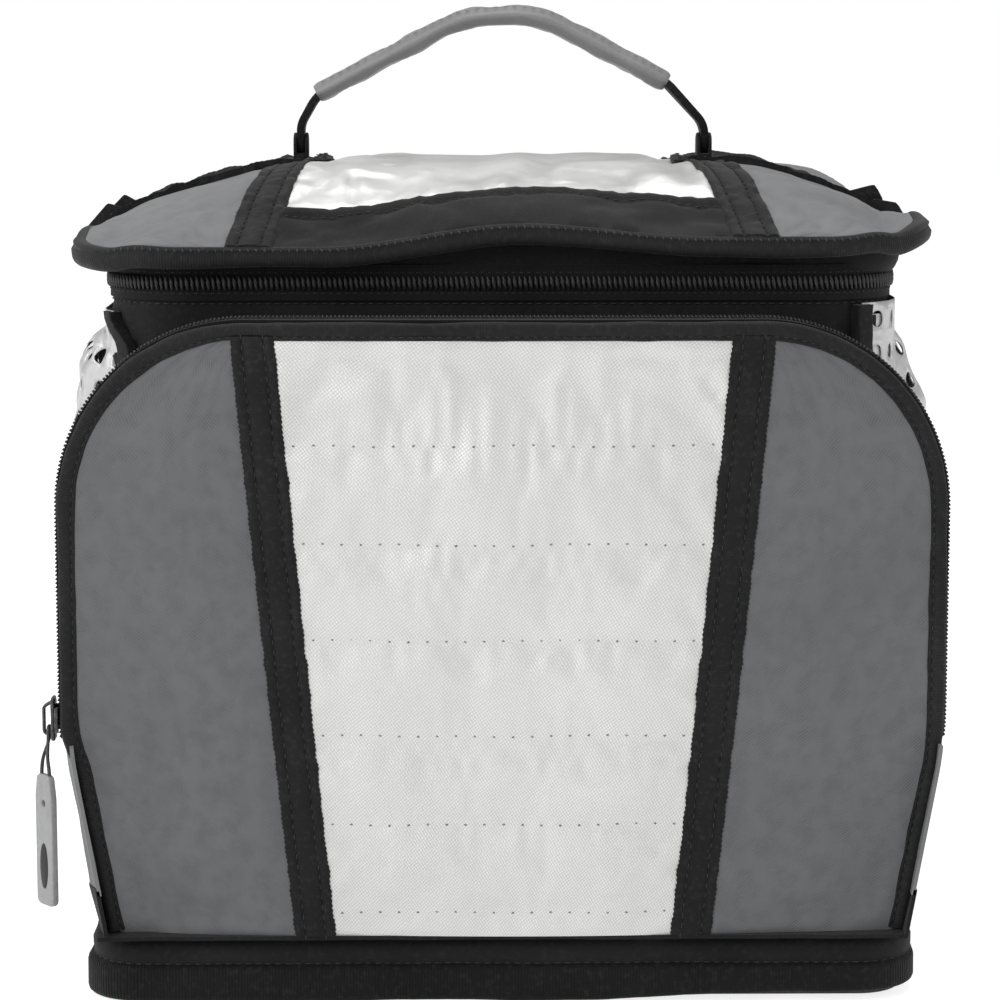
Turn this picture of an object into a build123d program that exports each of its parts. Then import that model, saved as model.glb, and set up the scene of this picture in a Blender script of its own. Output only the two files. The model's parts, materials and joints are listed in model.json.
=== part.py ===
"""Soft insulated carrier bag with a zipped lid, a zipped front pocket and a carry handle.

X is to the right, the front faces -Y, Z is up. The origin is the centre of the base.
"""

import os

from build123d import *

os.makedirs("parts", exist_ok=True)

# ---------------------------------------------------------------- driving sizes, mm
fabric_t = 1.2  # outer fabric
film_t = 0.8  # foil liner and side pocket film
webbing_t = 1.0  # flat sewn webbing
seam_gap = 0.3  # between pieces that move against each other
fit_gap = 0.1  # between curved pieces sewn face to face

# Base
base_w = 270.0
base_d = 218.0
base_r = 20.0
hem_t = 5.0
hem_h = 13.0
hem_round = 1.6
panel_t = 1.6
board_t = 2.2
base_foam_t = 10.2
band_h = 9.6
band_inset = 1.5
band_t = 2.5

# Body
body_w = 256.0
body_d = 180.0
body_r = 28.0
body_y = 15.0  # the body sits behind the centre of the base
body_top = 227.4
foam_t = 10.0
rim_h = 1.6

# Lid hinge and lid zip
hinge_z = 230.0
tape_t = 0.8
tape_h = 5.6
coil_h = 1.5
coil_out = 1.4
zip_rear = 62.0  # how far behind the body centre the lid zip ends

# Lid
lid_out = 12.0  # how far the lid stands out past the body all round
lid_r = 36.0
lid_edge_z = 242.0
lid_rise = 25.0
crest_half = 62.0
crest_drop = 1.25  # how far the ridge falls from its middle to its shoulders
shoulder_r = 60.0
lid_panel_t = 1.0
lid_facing_t = 1.2
lid_foam_t = 8.0
lid_bind_t = 4.0
lid_bind_h = 8.6
lid_bind_low = 234.0
lid_bind_round = 1.2
lid_band_d = 32.0
lid_strap_front = (73.5, 88.9)
lid_strap_crest = (62.0, 75.5)
cross_strap_w = 25.0
fold_w = 12.0  # folded tabs at the lid's rear corners
fold_t = 2.4
fold_lean = (14.0, 26.0)
fold_h = (16.5, 13.5)
fold_step = 9.5
fold_in_x = 32.0
fold_in_y = 9.0

# Front pocket
pocket_w = 282.0
pocket_foot_w = 260.0
pocket_low = 24.0
pocket_top = 221.0
pocket_r = 60.0
pocket_knee_z = 86.0
pocket_knee_r = 20.0
pocket_front = 118.0  # distance of the crown's outermost point in front of the origin
pocket_crown_z = 122.0
crown_r = 1243.0
gusset_back = 68.0
gusset_front = 98.0
gusset_taper = 28.0
pocket_bind_w = 7.0
pocket_bind_out = 1.0
pocket_bind_in = 3.0
pocket_bind_inset = 0.6
pocket_panel_t = 1.6
pocket_lining_t = 1.4
pocket_tape_w = 5.5
pocket_strap_top = (72.0, 85.6)
pocket_strap_low = (53.5, 66.2)
pocket_coil_deep = 1.7

# Side pockets
side_out = 9.0
side_front = 64.0
side_rear = 60.0
side_top = 214.0
elastic_h = 6.0
elastic_t = 1.2

# Handle
handle_foot_left = 68.5
handle_foot_right = 71.5
pivot_lift = 8.0
leg_r = 4.6
leg_t = 2.6
leg_w = 25.0
ear_t = 2.0
grip_w = 30.0
grip_t = 7.6
grip_round = 2.2
ear_wall = 2.0
neck_run = 8.0
handle_bends = [8.0, 12.0, 40.0, 40.0, 12.0, 8.0]
handle_top_left = (-13.0, 315.2)
handle_top_right = (13.0, 317.5)
grip_left = (-62.5, 289.0)
grip_right = (58.0, 293.0)

# Zip sliders and pulls
slider_l = 14.0
slider_w = 9.0
slider_t = 1.2
slider_round = 3.0
lip_in = 0.2
lip_short = 6.0
post_in = 1.0
post_lean = (3.0, 1.0)
bridge_round = 1.2
bridge_slot_off = 0.5
pull_seat = 4.2
bridge_h = 3.0
bridge_t = 1.0
bridge_w = 2.2
lip_t = 1.3
wire_d = 1.3
wire_flat = 0.1  # flattened off each face of the wire
wire_corner = 2.0
pull_l = 20.0
pull_w = 6.0
lid_pull_w = 5.2
tab_l = 42.0
tab_w = 9.0
tab_t = 2.0
tab_corner = 1.5
tab_grip = 4.0  # how far the tab is moulded up over the wire
tab_hole_drop = 5.0
tab_hole_r = 1.5
lid_slider_y = 60.0
lid_tab_w = 6.4
lid_tab_l = 26.0

# ---------------------------------------------------------------- worked-out places
lid_w = body_w + 2 * lid_out
lid_d = body_d + 2 * lid_out
hem_in = hem_t + fit_gap
foam_floor = panel_t + board_t
floor_z = foam_floor + base_foam_t
body_front = body_d / 2 - body_y
lid_y = body_y
lid_rear = lid_d / 2 + lid_y
liner_in = fabric_t + foam_t
crown_centre_y = crown_r - pocket_front
tape_front = gusset_front + pocket_tape_w
fold_low = pocket_knee_z - seam_gap / 2
fold_high = pocket_knee_z + seam_gap / 2
panel_inset = pocket_bind_inset + pocket_bind_w
spare = 10.0  # how far a cut reaches past what it cuts
far = 400.0


def write(piece, label):
    """Labels a finished piece and writes it under the same name."""
    piece.part.label = label
    export_step(piece.part, f"parts/{label}.step")


# ---------------------------------------------------------------- shared profiles
def rounded_body(inset, mode=Mode.ADD):
    """The body's outline drawn inward by inset, in the sketch in hand."""
    RectangleRounded(body_w - 2 * inset, body_d - 2 * inset, max(body_r - inset, 1), mode=mode)


def rounded_base(inset, mode=Mode.ADD):
    """The base's outline drawn inward by inset, in the sketch in hand."""
    RectangleRounded(base_w - 2 * inset, base_d - 2 * inset, base_r - inset, mode=mode)


def rounded_lid(inset, mode=Mode.ADD):
    """The lid's outline drawn inward by inset, in the sketch in hand."""
    RectangleRounded(lid_w - 2 * inset, lid_d - 2 * inset, lid_r - inset, mode=mode)


# ---------------------------------------------------------------- base
with BuildPart() as base_panel:
    with BuildSketch():
        rounded_base(hem_in)
    extrude(amount=panel_t)
write(base_panel, "base_panel")

with BuildPart() as base_board:
    with BuildSketch(Plane.XY.offset(panel_t)):
        rounded_base(hem_in)
    extrude(amount=board_t)
write(base_board, "base_board")

with BuildPart() as base_foam:
    with BuildSketch(Plane.XY.offset(foam_floor)):
        rounded_base(hem_in)
    extrude(amount=base_foam_t)
write(base_foam, "base_foam")

with BuildPart() as base_hem:
    with BuildSketch():
        rounded_base(0)
        rounded_base(hem_t, Mode.SUBTRACT)
    extrude(amount=hem_h)
    hem_faces = base_hem.faces().filter_by(Axis.Z)
    hem_outer = [face.outer_wire().edges() for face in hem_faces]
    chamfer(hem_outer[0] + hem_outer[1], hem_round)
write(base_hem, "base_hem")

with BuildPart() as base_band:
    with BuildSketch(Plane.XY.offset(hem_h)):
        rounded_base(band_inset)
    extrude(amount=band_h)
    with BuildSketch(Plane.XY.offset(hem_h)):
        rounded_base(band_inset + band_t)
        with Locations((0, body_r - body_front - far / 2)):
            Rectangle(far, far, mode=Mode.INTERSECT)
        with Locations((0, body_y)):
            rounded_body(-fit_gap)
    extrude(amount=band_h, mode=Mode.SUBTRACT)
    with BuildSketch(Plane.XY.offset(hem_h)):
        rounded_base(hem_in - fit_gap)
    extrude(amount=floor_z - hem_h, mode=Mode.SUBTRACT)
write(base_band, "base_band")


# ---------------------------------------------------------------- body walls and foam
def body_side(label, side, inset, wall, low, high):
    """One side of the body's ring: the front and rear keep the rounded corners."""
    corner = body_d / 2 - body_r
    with BuildPart() as piece:
        with BuildSketch(Plane.XY.offset(low)):
            with Locations((0, body_y)):
                rounded_body(inset)
                rounded_body(inset + wall, Mode.SUBTRACT)
            if side == "front":
                region = (0, body_y - corner - far / 2, far, far)
            elif side == "rear":
                region = (0, body_y + corner + far / 2, far, far)
            elif side == "left":
                region = (-far / 2, body_y, far, 2 * corner)
            elif side == "right":
                region = (far / 2, body_y, far, 2 * corner)
            else:
                region = (0, body_y, far, 2 * corner)
            with Locations(region[:2]):
                Rectangle(region[2], region[3], mode=Mode.INTERSECT)
        extrude(amount=high - low)
    write(piece, label)


for side in ("front", "rear", "left", "right"):
    body_side(f"{side}_wall", side, 0, fabric_t, floor_z, body_top)
for side in ("front", "rear", "both"):
    body_side("side_foams" if side == "both" else f"{side}_foam", side, fabric_t, foam_t, floor_z, body_top)

with BuildPart() as liner_tub:
    with BuildSketch(Plane.XY.offset(floor_z)):
        with Locations((0, body_y)):
            rounded_body(liner_in)
    extrude(amount=body_top - floor_z)
    with BuildSketch(Plane.XY.offset(floor_z + film_t)):
        with Locations((0, body_y)):
            rounded_body(liner_in + film_t)
    extrude(amount=body_top - floor_z, mode=Mode.SUBTRACT)
write(liner_tub, "liner_tub")

with BuildPart() as rim_binding:
    with BuildSketch(Plane.XY.offset(body_top)):
        with Locations((0, body_y)):
            rounded_body(0)
            rounded_body(liner_in + film_t, Mode.SUBTRACT)
    extrude(amount=rim_h)
write(rim_binding, "rim_binding")


# ---------------------------------------------------------------- lid zip, lower half
def zip_run(label, out, thick, low, high):
    """A strip on the outside of the body along the front and both sides."""
    with BuildPart() as strip:
        with BuildSketch(Plane.XY.offset(low)):
            with Locations((0, body_y)):
                rounded_body(-out - thick)
                rounded_body(-out, Mode.SUBTRACT)
            with Locations((0, body_y + zip_rear - far / 2)):
                Rectangle(far, far, mode=Mode.INTERSECT)
        extrude(amount=high - low)
    write(strip, label)


zip_low = hinge_z - seam_gap / 2
zip_high = hinge_z + seam_gap / 2
zip_run("lid_zip_tape_lower", 0, tape_t, zip_low - tape_h, zip_low)
zip_run("lid_zip_coil_lower", tape_t, coil_out, zip_low - coil_h, zip_low)


# ---------------------------------------------------------------- lid
shoulder_z = lid_edge_z + lid_rise - crest_drop
side_fall = (lid_rise - crest_drop) / (lid_w / 2 - crest_half)
low_side = (lid_w / 2 + 2 * spare, lid_edge_z - 2 * spare * side_fall)
under_side = (low_side[0], lid_edge_z - 4 * spare)
with BuildPart() as dome_block:
    # One profile falls to the left and right, the other to the front and rear.
    with BuildSketch(Plane.XZ) as across:
        with BuildLine():
            ThreePointArc((-crest_half, shoulder_z), (0, lid_edge_z + lid_rise), (crest_half, shoulder_z))
            mirrored = [(-x, z) for x, z in (under_side, low_side, (crest_half, shoulder_z))]
            Polyline((crest_half, shoulder_z), low_side, under_side, *mirrored)
        make_face()
        shoulders = across.vertices().filter_by(lambda corner: abs(corner.Z - shoulder_z) < fit_gap)
        fillet(shoulders, shoulder_r)
    extrude(amount=far, both=True)
    with BuildSketch(Plane.YZ):
        with Locations((lid_y, 0)):
            with BuildLine():
                ThreePointArc((-lid_d / 2, lid_edge_z), (0, lid_edge_z + lid_rise), (lid_d / 2, lid_edge_z))
                run_out = (lid_d / 2 + 2 * spare, lid_edge_z - spare)
                rear_run = [(lid_d / 2, lid_edge_z), run_out, (run_out[0], lid_edge_z - 4 * spare)]
                Polyline(*rear_run, *[(-y, z) for y, z in reversed(rear_run)])
            make_face()
    extrude(amount=far, both=True, mode=Mode.INTERSECT)


def dome(lift):
    """The solid under the lid's top surface, raised by lift."""
    return Pos(0, 0, lift) * dome_block.part


def strap_x(front, crest_x, y):
    """Where a lid strap's edge lies at a distance y behind the lid's middle."""
    return crest_x + (crest_x - front) * y / (lid_d / 2)


def lid_seam(y):
    """The seam under the middle of a lid strap."""
    return strap_x(sum(lid_strap_front) / 2, sum(lid_strap_crest) / 2, y)


def lid_piece(label, plans, top, bottom, cut=None):
    """A piece of the lid between two heights off its top surface, with straight-sided plans."""
    over = dome(top)
    under = dome(bottom)
    with BuildSketch() as plan:
        for corners in plans:
            Polygon(*[(x, y + lid_y) for x, y in corners], align=None)
    with BuildPart() as piece:
        with BuildSketch(Plane.XY.offset(hinge_z)):
            with Locations((0, lid_y)):
                rounded_lid(lid_bind_t)
            add(plan.sketch, mode=Mode.INTERSECT)
        extrude(amount=lid_rise * 2 + spare)
        add(over, mode=Mode.INTERSECT)
        add(under, mode=Mode.SUBTRACT)
        if cut is not None:
            add(cut, mode=Mode.SUBTRACT)
    write(piece, label)


def strap_plan(way, low, high):
    """A lid strap's plan on one side, between two distances behind the lid's middle."""
    inner = [(way * strap_x(lid_strap_front[0], lid_strap_crest[0], y), y) for y in (low, high)]
    outer = [(way * strap_x(lid_strap_front[1], lid_strap_crest[1], y), y) for y in (high, low)]
    return inner + outer


edge = lid_d / 2
band_y = -edge + lid_band_d
for name, way in (("left", -1), ("right", 1)):
    side_plan = [(way * lid_seam(-edge), -edge), (way * lid_w, -edge)]
    side_plan += [(way * lid_w, edge), (way * lid_seam(edge), edge)]
    lid_piece(f"lid_grey_{name}", [side_plan], 0, -lid_panel_t)
lid_piece("lid_straps", [strap_plan(-1, -edge, edge), strap_plan(1, -edge, edge)], webbing_t, 0)

silver_plan = [(-lid_seam(band_y), band_y), (lid_seam(band_y), band_y)]
silver_plan += [(lid_seam(edge), edge), (-lid_seam(edge), edge)]
lid_piece("lid_silver", [silver_plan], 0, -lid_panel_t)

band_plan = [(-lid_seam(-edge), -edge), (lid_seam(-edge), -edge)]
band_plan += [(lid_seam(band_y), band_y), (-lid_seam(band_y), band_y)]
lid_piece("lid_front_band", [band_plan], 0, -lid_panel_t)

with BuildPart() as lid_cross_strap:
    strap_half = cross_strap_w / 2
    with BuildSketch(Plane.XY.offset(hinge_z)):
        with Locations((0, lid_y)):
            rounded_lid(lid_bind_t)
            Rectangle(far, cross_strap_w, mode=Mode.INTERSECT)
        strap_lines = [strap_x(lid_strap_front[1], lid_strap_crest[1], y) for y in (-strap_half, strap_half)]
        corners = [(-strap_lines[0], lid_y - strap_half), (strap_lines[0], lid_y - strap_half)]
        corners += [(strap_lines[1], lid_y + strap_half), (-strap_lines[1], lid_y + strap_half)]
        Polygon(*corners, align=None, mode=Mode.SUBTRACT)
    extrude(amount=lid_rise * 2 + spare)
    add(dome(webbing_t), mode=Mode.INTERSECT)
    add(dome(0), mode=Mode.SUBTRACT)
write(lid_cross_strap, "lid_cross_strap")

with BuildPart() as lid_edge_binding:
    with BuildSketch(Plane.XY.offset(lid_bind_low)):
        with Locations((0, lid_y)):
            rounded_lid(0)
            rounded_lid(lid_bind_t, Mode.SUBTRACT)
    extrude(amount=lid_bind_h)
    chamfer(lid_edge_binding.edges().filter_by(Plane.XY), lid_bind_round)
write(lid_edge_binding, "lid_edge_binding")

with BuildPart() as skirt_core:
    with BuildSketch(Plane.XY.offset(hinge_z - 1)):
        with Locations((0, body_y)):
            rounded_body(-fit_gap)
    extrude(amount=lid_rise * 2)

lid_square = [(-lid_w, -edge), (lid_w, -edge), (lid_w, edge), (-lid_w, edge)]
facing_top = -lid_panel_t
facing_low = facing_top - lid_facing_t
lid_piece("lid_facing", [lid_square], facing_top, facing_low, cut=skirt_core.part)


def under_lid(label, inset, wall, top, bottom, low):
    """A piece inside the body's outline under the lid's top surface: a ring, or a sheet if wall is 0."""
    with BuildPart() as piece:
        with BuildSketch(Plane.XY.offset(low)):
            with Locations((0, body_y)):
                rounded_body(inset)
                if wall:
                    rounded_body(inset + wall, Mode.SUBTRACT)
        extrude(amount=lid_rise * 2 + spare)
        add(dome(top), mode=Mode.INTERSECT)
        if bottom is not None:
            add(dome(bottom), mode=Mode.SUBTRACT)
    write(piece, label)


lid_foam_low = facing_top - lid_foam_t
under_lid("lid_skirt", 0, fabric_t, facing_top, None, zip_high)
under_lid("lid_foam", fabric_t, 0, facing_top, lid_foam_low, zip_high)
under_lid("lid_liner", fabric_t, 0, lid_foam_low, lid_foam_low - film_t, zip_high)
zip_run("lid_zip_tape_upper", 0, tape_t, zip_high, zip_high + tape_h)
zip_run("lid_zip_coil_upper", tape_t, coil_out, zip_high, zip_high + coil_h)

# Folded fabric tabs stand at the lid's two rear corners.
with BuildPart() as corner_tabs:
    for way in (-1, 1):
        for reach, lean, height in zip((0, fold_step), fold_lean, fold_h):
            foot_x = way * (lid_w / 2 - fold_in_x + reach)
            foot = Location((foot_x, lid_rear - fold_in_y - reach / 2, lid_edge_z), (0, way * lean, 0))
            with Locations(foot):
                Box(fold_w, fold_t, height, align=(Align.CENTER, Align.CENTER, Align.MIN))
    add(dome(fit_gap / 2), mode=Mode.SUBTRACT)
write(corner_tabs, "corner_tabs")


# ---------------------------------------------------------------- front pocket shapes
def pocket_outline(inset):
    """The pocket's outline seen from the front, drawn inward by inset, as a flat sketch."""
    half = pocket_w / 2
    run_out = (pocket_w - pocket_foot_w) / 2 / (pocket_knee_z - pocket_low)
    deep = pocket_low - 4 * spare
    foot = half - (pocket_knee_z - deep) * run_out
    points = [(-half, pocket_top), (half, pocket_top), (half, pocket_knee_z)]
    points += [(foot, deep), (-foot, deep), (-half, pocket_knee_z)]
    corner = [pocket_r, pocket_r, pocket_knee_r, 0, 0, pocket_knee_r]
    with BuildSketch() as outline:
        with BuildLine():
            FilletPolyline(*points, radius=corner, close=True)
        make_face()
        if inset:
            offset(amount=-inset, mode=Mode.REPLACE)
    return outline.sketch


def crown(lift):
    """The ball whose front gives the pocket its bulge, drawn forward by lift."""
    return Pos(0, crown_centre_y, pocket_crown_z) * Sphere(crown_r + lift, mode=Mode.PRIVATE)


def pocket_core(inset):
    """The pocket's inside: tapered from the front outline back to the body."""
    with BuildPart() as core:
        with BuildSketch(Plane.XZ.offset(gusset_front)) as face:
            add(pocket_outline(inset))
        extrude(face.sketch, amount=pocket_front)
        extrude(face.sketch, amount=-(gusset_front - gusset_back), taper=gusset_taper)
    return core.part


pocket_shell = pocket_core(0)
pocket_space = pocket_core(fabric_t)


def gusset(label, low, high, front):
    """The pocket's side wall between two heights, open to the body."""
    with BuildPart() as piece:
        add(pocket_shell)
        add(pocket_space, mode=Mode.SUBTRACT)
        with BuildSketch(Plane.XY.offset(low)):
            with Locations((0, -(front + gusset_back) / 2)):
                Rectangle(far, front - gusset_back)
        extrude(amount=high - low, mode=Mode.INTERSECT)
        add(crown(-pocket_bind_in), mode=Mode.INTERSECT)
        with BuildSketch():
            with Locations((0, body_y)):
                rounded_body(-fit_gap)
        extrude(amount=far, mode=Mode.SUBTRACT)
    write(piece, label)


gusset("pocket_gusset", fold_high, pocket_top + 1, gusset_front)
gusset("pocket_gusset_lower", pocket_low, fold_low, pocket_front)

with BuildPart() as pocket_floor:
    with BuildSketch(Plane.XY.offset(hem_h + band_h)):
        with Locations((0, -pocket_front)):
            Rectangle(far, 2 * pocket_front - 2 * gusset_back)
    extrude(amount=pocket_low - hem_h - band_h)
    add(pocket_shell, mode=Mode.INTERSECT)
    add(crown(-pocket_bind_in), mode=Mode.INTERSECT)
    with BuildSketch():
        with Locations((0, body_y)):
            rounded_body(-fit_gap)
    extrude(amount=far, mode=Mode.SUBTRACT)
write(pocket_floor, "pocket_floor")


def pocket_strip(label, outer, inner, back, front, low, crown_cut=None):
    """A straight strip above a height, between two insets of the outline and two depths."""
    with BuildPart() as strip:
        with BuildSketch(Plane.XZ.offset(back)):
            add(pocket_outline(outer))
            add(pocket_outline(inner), mode=Mode.SUBTRACT)
        extrude(amount=front - back)
        with BuildSketch(Plane.XY.offset(low)):
            with Locations((0, -(front + back) / 2)):
                Rectangle(far, 2 * far)
        extrude(amount=far, mode=Mode.INTERSECT)
        if crown_cut is not None:
            add(crown_cut, mode=Mode.INTERSECT)
    write(strip, label)


meet = tape_front + seam_gap
tape_cut = crown(-pocket_bind_in)
pocket_strip("pocket_zip_tape", 0, fabric_t, gusset_front, tape_front, fold_high)
pocket_strip("flap_zip_tape", 0, fabric_t, meet, pocket_front, fold_high, crown_cut=tape_cut)
pocket_strip("pocket_zip_coil", -coil_out, 0, tape_front - pocket_coil_deep, tape_front, fold_high)
pocket_strip("flap_zip_coil", -coil_out, 0, meet, meet + pocket_coil_deep, fold_high)


def strap_edge(top, low, z):
    """Where a pocket strap's edge lies at a height."""
    return low + (top - low) * (z - pocket_low) / (pocket_top - pocket_low)


def pocket_seam(z):
    """The seam under the middle of a pocket strap."""
    return strap_edge(sum(pocket_strap_top) / 2, sum(pocket_strap_low) / 2, z)


def pocket_piece(label, plans, front, back, inset=panel_inset, ring_wall=None):
    """A crowned piece of the pocket's front between two depths off its surface."""
    with BuildSketch() as plan:
        for corners in plans:
            Polygon(*corners, align=None)
    with BuildPart() as piece:
        with BuildSketch(Plane.XZ.offset(gusset_front)):
            add(pocket_outline(inset))
            if ring_wall:
                add(pocket_outline(inset + ring_wall), mode=Mode.SUBTRACT)
            add(plan.sketch, mode=Mode.INTERSECT)
        extrude(amount=pocket_front - gusset_front + spare)
        add(crown(front), mode=Mode.INTERSECT)
        add(crown(back), mode=Mode.SUBTRACT)
    write(piece, label)


def pocket_strap_plan(way, low, high):
    """A pocket strap's outline on one side, between two heights."""
    inner = [(way * strap_edge(pocket_strap_top[0], pocket_strap_low[0], z), z) for z in (low, high)]
    outer = [(way * strap_edge(pocket_strap_top[1], pocket_strap_low[1], z), z) for z in (high, low)]
    return inner + outer


def grey_plan(way, low, high):
    """A grey panel's outline on one side, out past the pocket's edge."""
    return [(way * pocket_seam(low), low), (way * far, low), (way * far, high), (way * pocket_seam(high), high)]


def pocket_front_set(prefix, low, high):
    """The silver panel, straps, binding and lining of one stretch of the pocket's front."""
    wide = [(-far, low), (far, low), (far, high), (-far, high)]
    middle = [(-pocket_seam(low), low), (pocket_seam(low), low)]
    middle += [(pocket_seam(high), high), (-pocket_seam(high), high)]
    straps = [pocket_strap_plan(-1, low, high), pocket_strap_plan(1, low, high)]
    lining_back = -pocket_panel_t - pocket_lining_t
    pocket_piece(f"{prefix}_silver", [middle], 0, -pocket_panel_t)
    pocket_piece(f"{prefix}_straps", straps, webbing_t, 0)
    pocket_piece(f"{prefix}_lining", [wide], -pocket_panel_t, lining_back)
    pocket_piece(f"{prefix}_binding", [wide], pocket_bind_out, -pocket_bind_in, pocket_bind_inset, pocket_bind_w)


flap_top = pocket_top + 1
pocket_front_set("flap", fold_high, flap_top)
pocket_front_set("pocket", pocket_low, fold_low)
pocket_piece("flap_grey_left", [grey_plan(-1, fold_high, flap_top)], 0, -pocket_panel_t)
pocket_piece("flap_grey_right", [grey_plan(1, fold_high, flap_top)], 0, -pocket_panel_t)
lower_greys = [grey_plan(-1, pocket_low, fold_low), grey_plan(1, pocket_low, fold_low)]
pocket_piece("pocket_grey_panels", lower_greys, 0, -pocket_panel_t)


# ---------------------------------------------------------------- side pockets
def side_plan_sketch(out, wall, ways, trim=0.0):
    """The stretch of the body's outline that the side pockets cover, drawn outward by out."""
    with BuildSketch() as plan:
        with Locations((0, body_y)):
            rounded_body(-out)
            rounded_body(-out + wall, Mode.SUBTRACT)
        with BuildSketch(mode=Mode.PRIVATE) as strip:
            for way in ways:
                with Locations((way * far / 2, (side_rear - side_front) / 2)):
                    Rectangle(far, side_front + side_rear - 2 * trim)
        add(strip.sketch, mode=Mode.INTERSECT)
    return plan.sketch


side_deep = side_out - fit_gap
for name, way in (("left", -1), ("right", 1)):
    with BuildPart() as side_pocket:
        with BuildSketch(Plane.XY.offset(pocket_low)):
            add(side_plan_sketch(side_out, side_deep, [way]))
        extrude(amount=side_top - pocket_low)
        with BuildSketch(Plane.XY.offset(pocket_low + film_t)):
            add(side_plan_sketch(side_out - film_t, side_deep, [way], film_t))
        extrude(amount=side_top, mode=Mode.SUBTRACT)
    write(side_pocket, f"side_pocket_{name}")

with BuildPart() as side_pocket_elastics:
    with BuildSketch(Plane.XY.offset(side_top - elastic_h)):
        add(side_plan_sketch(side_out + elastic_t, elastic_t, [-1, 1]))
    extrude(amount=elastic_h)
write(side_pocket_elastics, "side_pocket_elastics")

# ---------------------------------------------------------------- handle
foot_z = lid_edge_z + (lid_w / 2 - handle_foot_left) * side_fall
pivot_z = foot_z + webbing_t + pivot_lift
leg_low = pivot_z - leg_r
ear_r = leg_r + ear_wall
knee_z = pivot_z + ear_r + 2 * ear_wall


def handle_path():
    """The handle's line seen from the front, in the sketch in hand."""
    left_foot = (-handle_foot_left, leg_low)
    left_knee = (-handle_foot_left, knee_z)
    right_knee = (handle_foot_right, knee_z)
    right_foot = (handle_foot_right, leg_low)
    points = [left_foot, left_knee, grip_left, handle_top_left]
    points += [handle_top_right, grip_right, right_knee, right_foot]
    FilletPolyline(*points, radius=handle_bends)


def grip_path():
    """The stretch of the handle's line that the grip sleeve covers."""
    FilletPolyline(grip_left, handle_top_left, handle_top_right, grip_right, radius=handle_bends[2:4])


with BuildPart() as handle_webbing:
    with BuildSketch(Plane.XZ.offset(-lid_y)) as webbing_face:
        with BuildLine() as webbing_line:
            handle_path()
        trace(webbing_line.line, line_width=leg_t)
    extrude(webbing_face.sketch, amount=leg_w / 2, both=True)
    with BuildSketch(Plane.YZ) as leg_side:
        with BuildLine():
            neck = [(leg_w / 2, far), (leg_w / 2, knee_z + neck_run), (leg_r, pivot_z)]
            rear_neck = [(lid_y + y, z) for y, z in neck]
            Polyline(*rear_neck, *[(lid_y - y, z) for y, z in reversed(neck)], close=True)
        make_face()
        with Locations((lid_y, pivot_z)):
            Circle(leg_r)
    extrude(leg_side.sketch, amount=far, both=True, mode=Mode.INTERSECT)
write(handle_webbing, "handle_webbing")

with BuildPart() as handle_grip:
    with BuildSketch(Plane.XZ.offset(-lid_y)) as grip_face:
        with BuildLine() as grip_line:
            grip_path()
        trace(grip_line.line, line_width=grip_t)
    extrude(grip_face.sketch, amount=grip_w / 2, both=True)
    long_edges = handle_grip.faces().filter_by(Axis.Y)
    chamfer(long_edges[0].edges() + long_edges[1].edges(), grip_round)
    with BuildSketch(Plane.XZ.offset(-lid_y)) as slot_face:
        with BuildLine() as slot_line:
            handle_path()
        trace(slot_line.line, line_width=leg_t + 2 * fit_gap)
    extrude(slot_face.sketch, amount=leg_w / 2 + fit_gap, both=True, mode=Mode.SUBTRACT)
write(handle_grip, "handle_grip")

with BuildPart() as handle_anchors:
    for foot_x in (-handle_foot_left, handle_foot_right):
        with BuildSketch(Plane.YZ.offset(foot_x)):
            with Locations((lid_y, pivot_z - pivot_lift)):
                Rectangle(2 * ear_r, 2 * pivot_lift)
            with Locations((lid_y, pivot_z)):
                Circle(ear_r)
        extrude(amount=leg_t / 2 + seam_gap + ear_t, both=True)
    for foot_x in (-handle_foot_left, handle_foot_right):
        with BuildSketch(Plane.YZ.offset(foot_x)):
            with Locations((lid_y, pivot_z)):
                Circle(leg_r + seam_gap)
            with Locations((lid_y, pivot_z + far / 2)):
                Rectangle(far, far)
            with Locations((lid_y, pivot_z)):
                Rectangle(far, 2 * leg_r + 2 * seam_gap)
        extrude(amount=leg_t / 2 + seam_gap, both=True, mode=Mode.SUBTRACT)
    add(dome(webbing_t), mode=Mode.SUBTRACT)
write(handle_anchors, "handle_anchors")

# ---------------------------------------------------------------- pocket zip slider and pull
slider_x = -(pocket_w / 2 + coil_out + seam_gap)
slider_y = -(tape_front + seam_gap / 2)
slider_z = pocket_knee_z + seam_gap + slider_l / 2
plate_out = slider_x - slider_t
bridge_out = plate_out - bridge_h
tape_clear = -(pocket_w / 2 + seam_gap)


def wire_loop(across, along, grow=0.0):
    """A flattened wire ring, in the sketch in hand, drawn thicker by grow on every side."""
    outer = RectangleRounded(across + 2 * grow, along + wire_d + 2 * grow, wire_corner + grow)
    inner_size = (across - 2 * wire_d - 2 * grow, along - wire_d - 2 * grow)
    RectangleRounded(*inner_size, wire_corner / 2, mode=Mode.SUBTRACT)
    return outer


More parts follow.
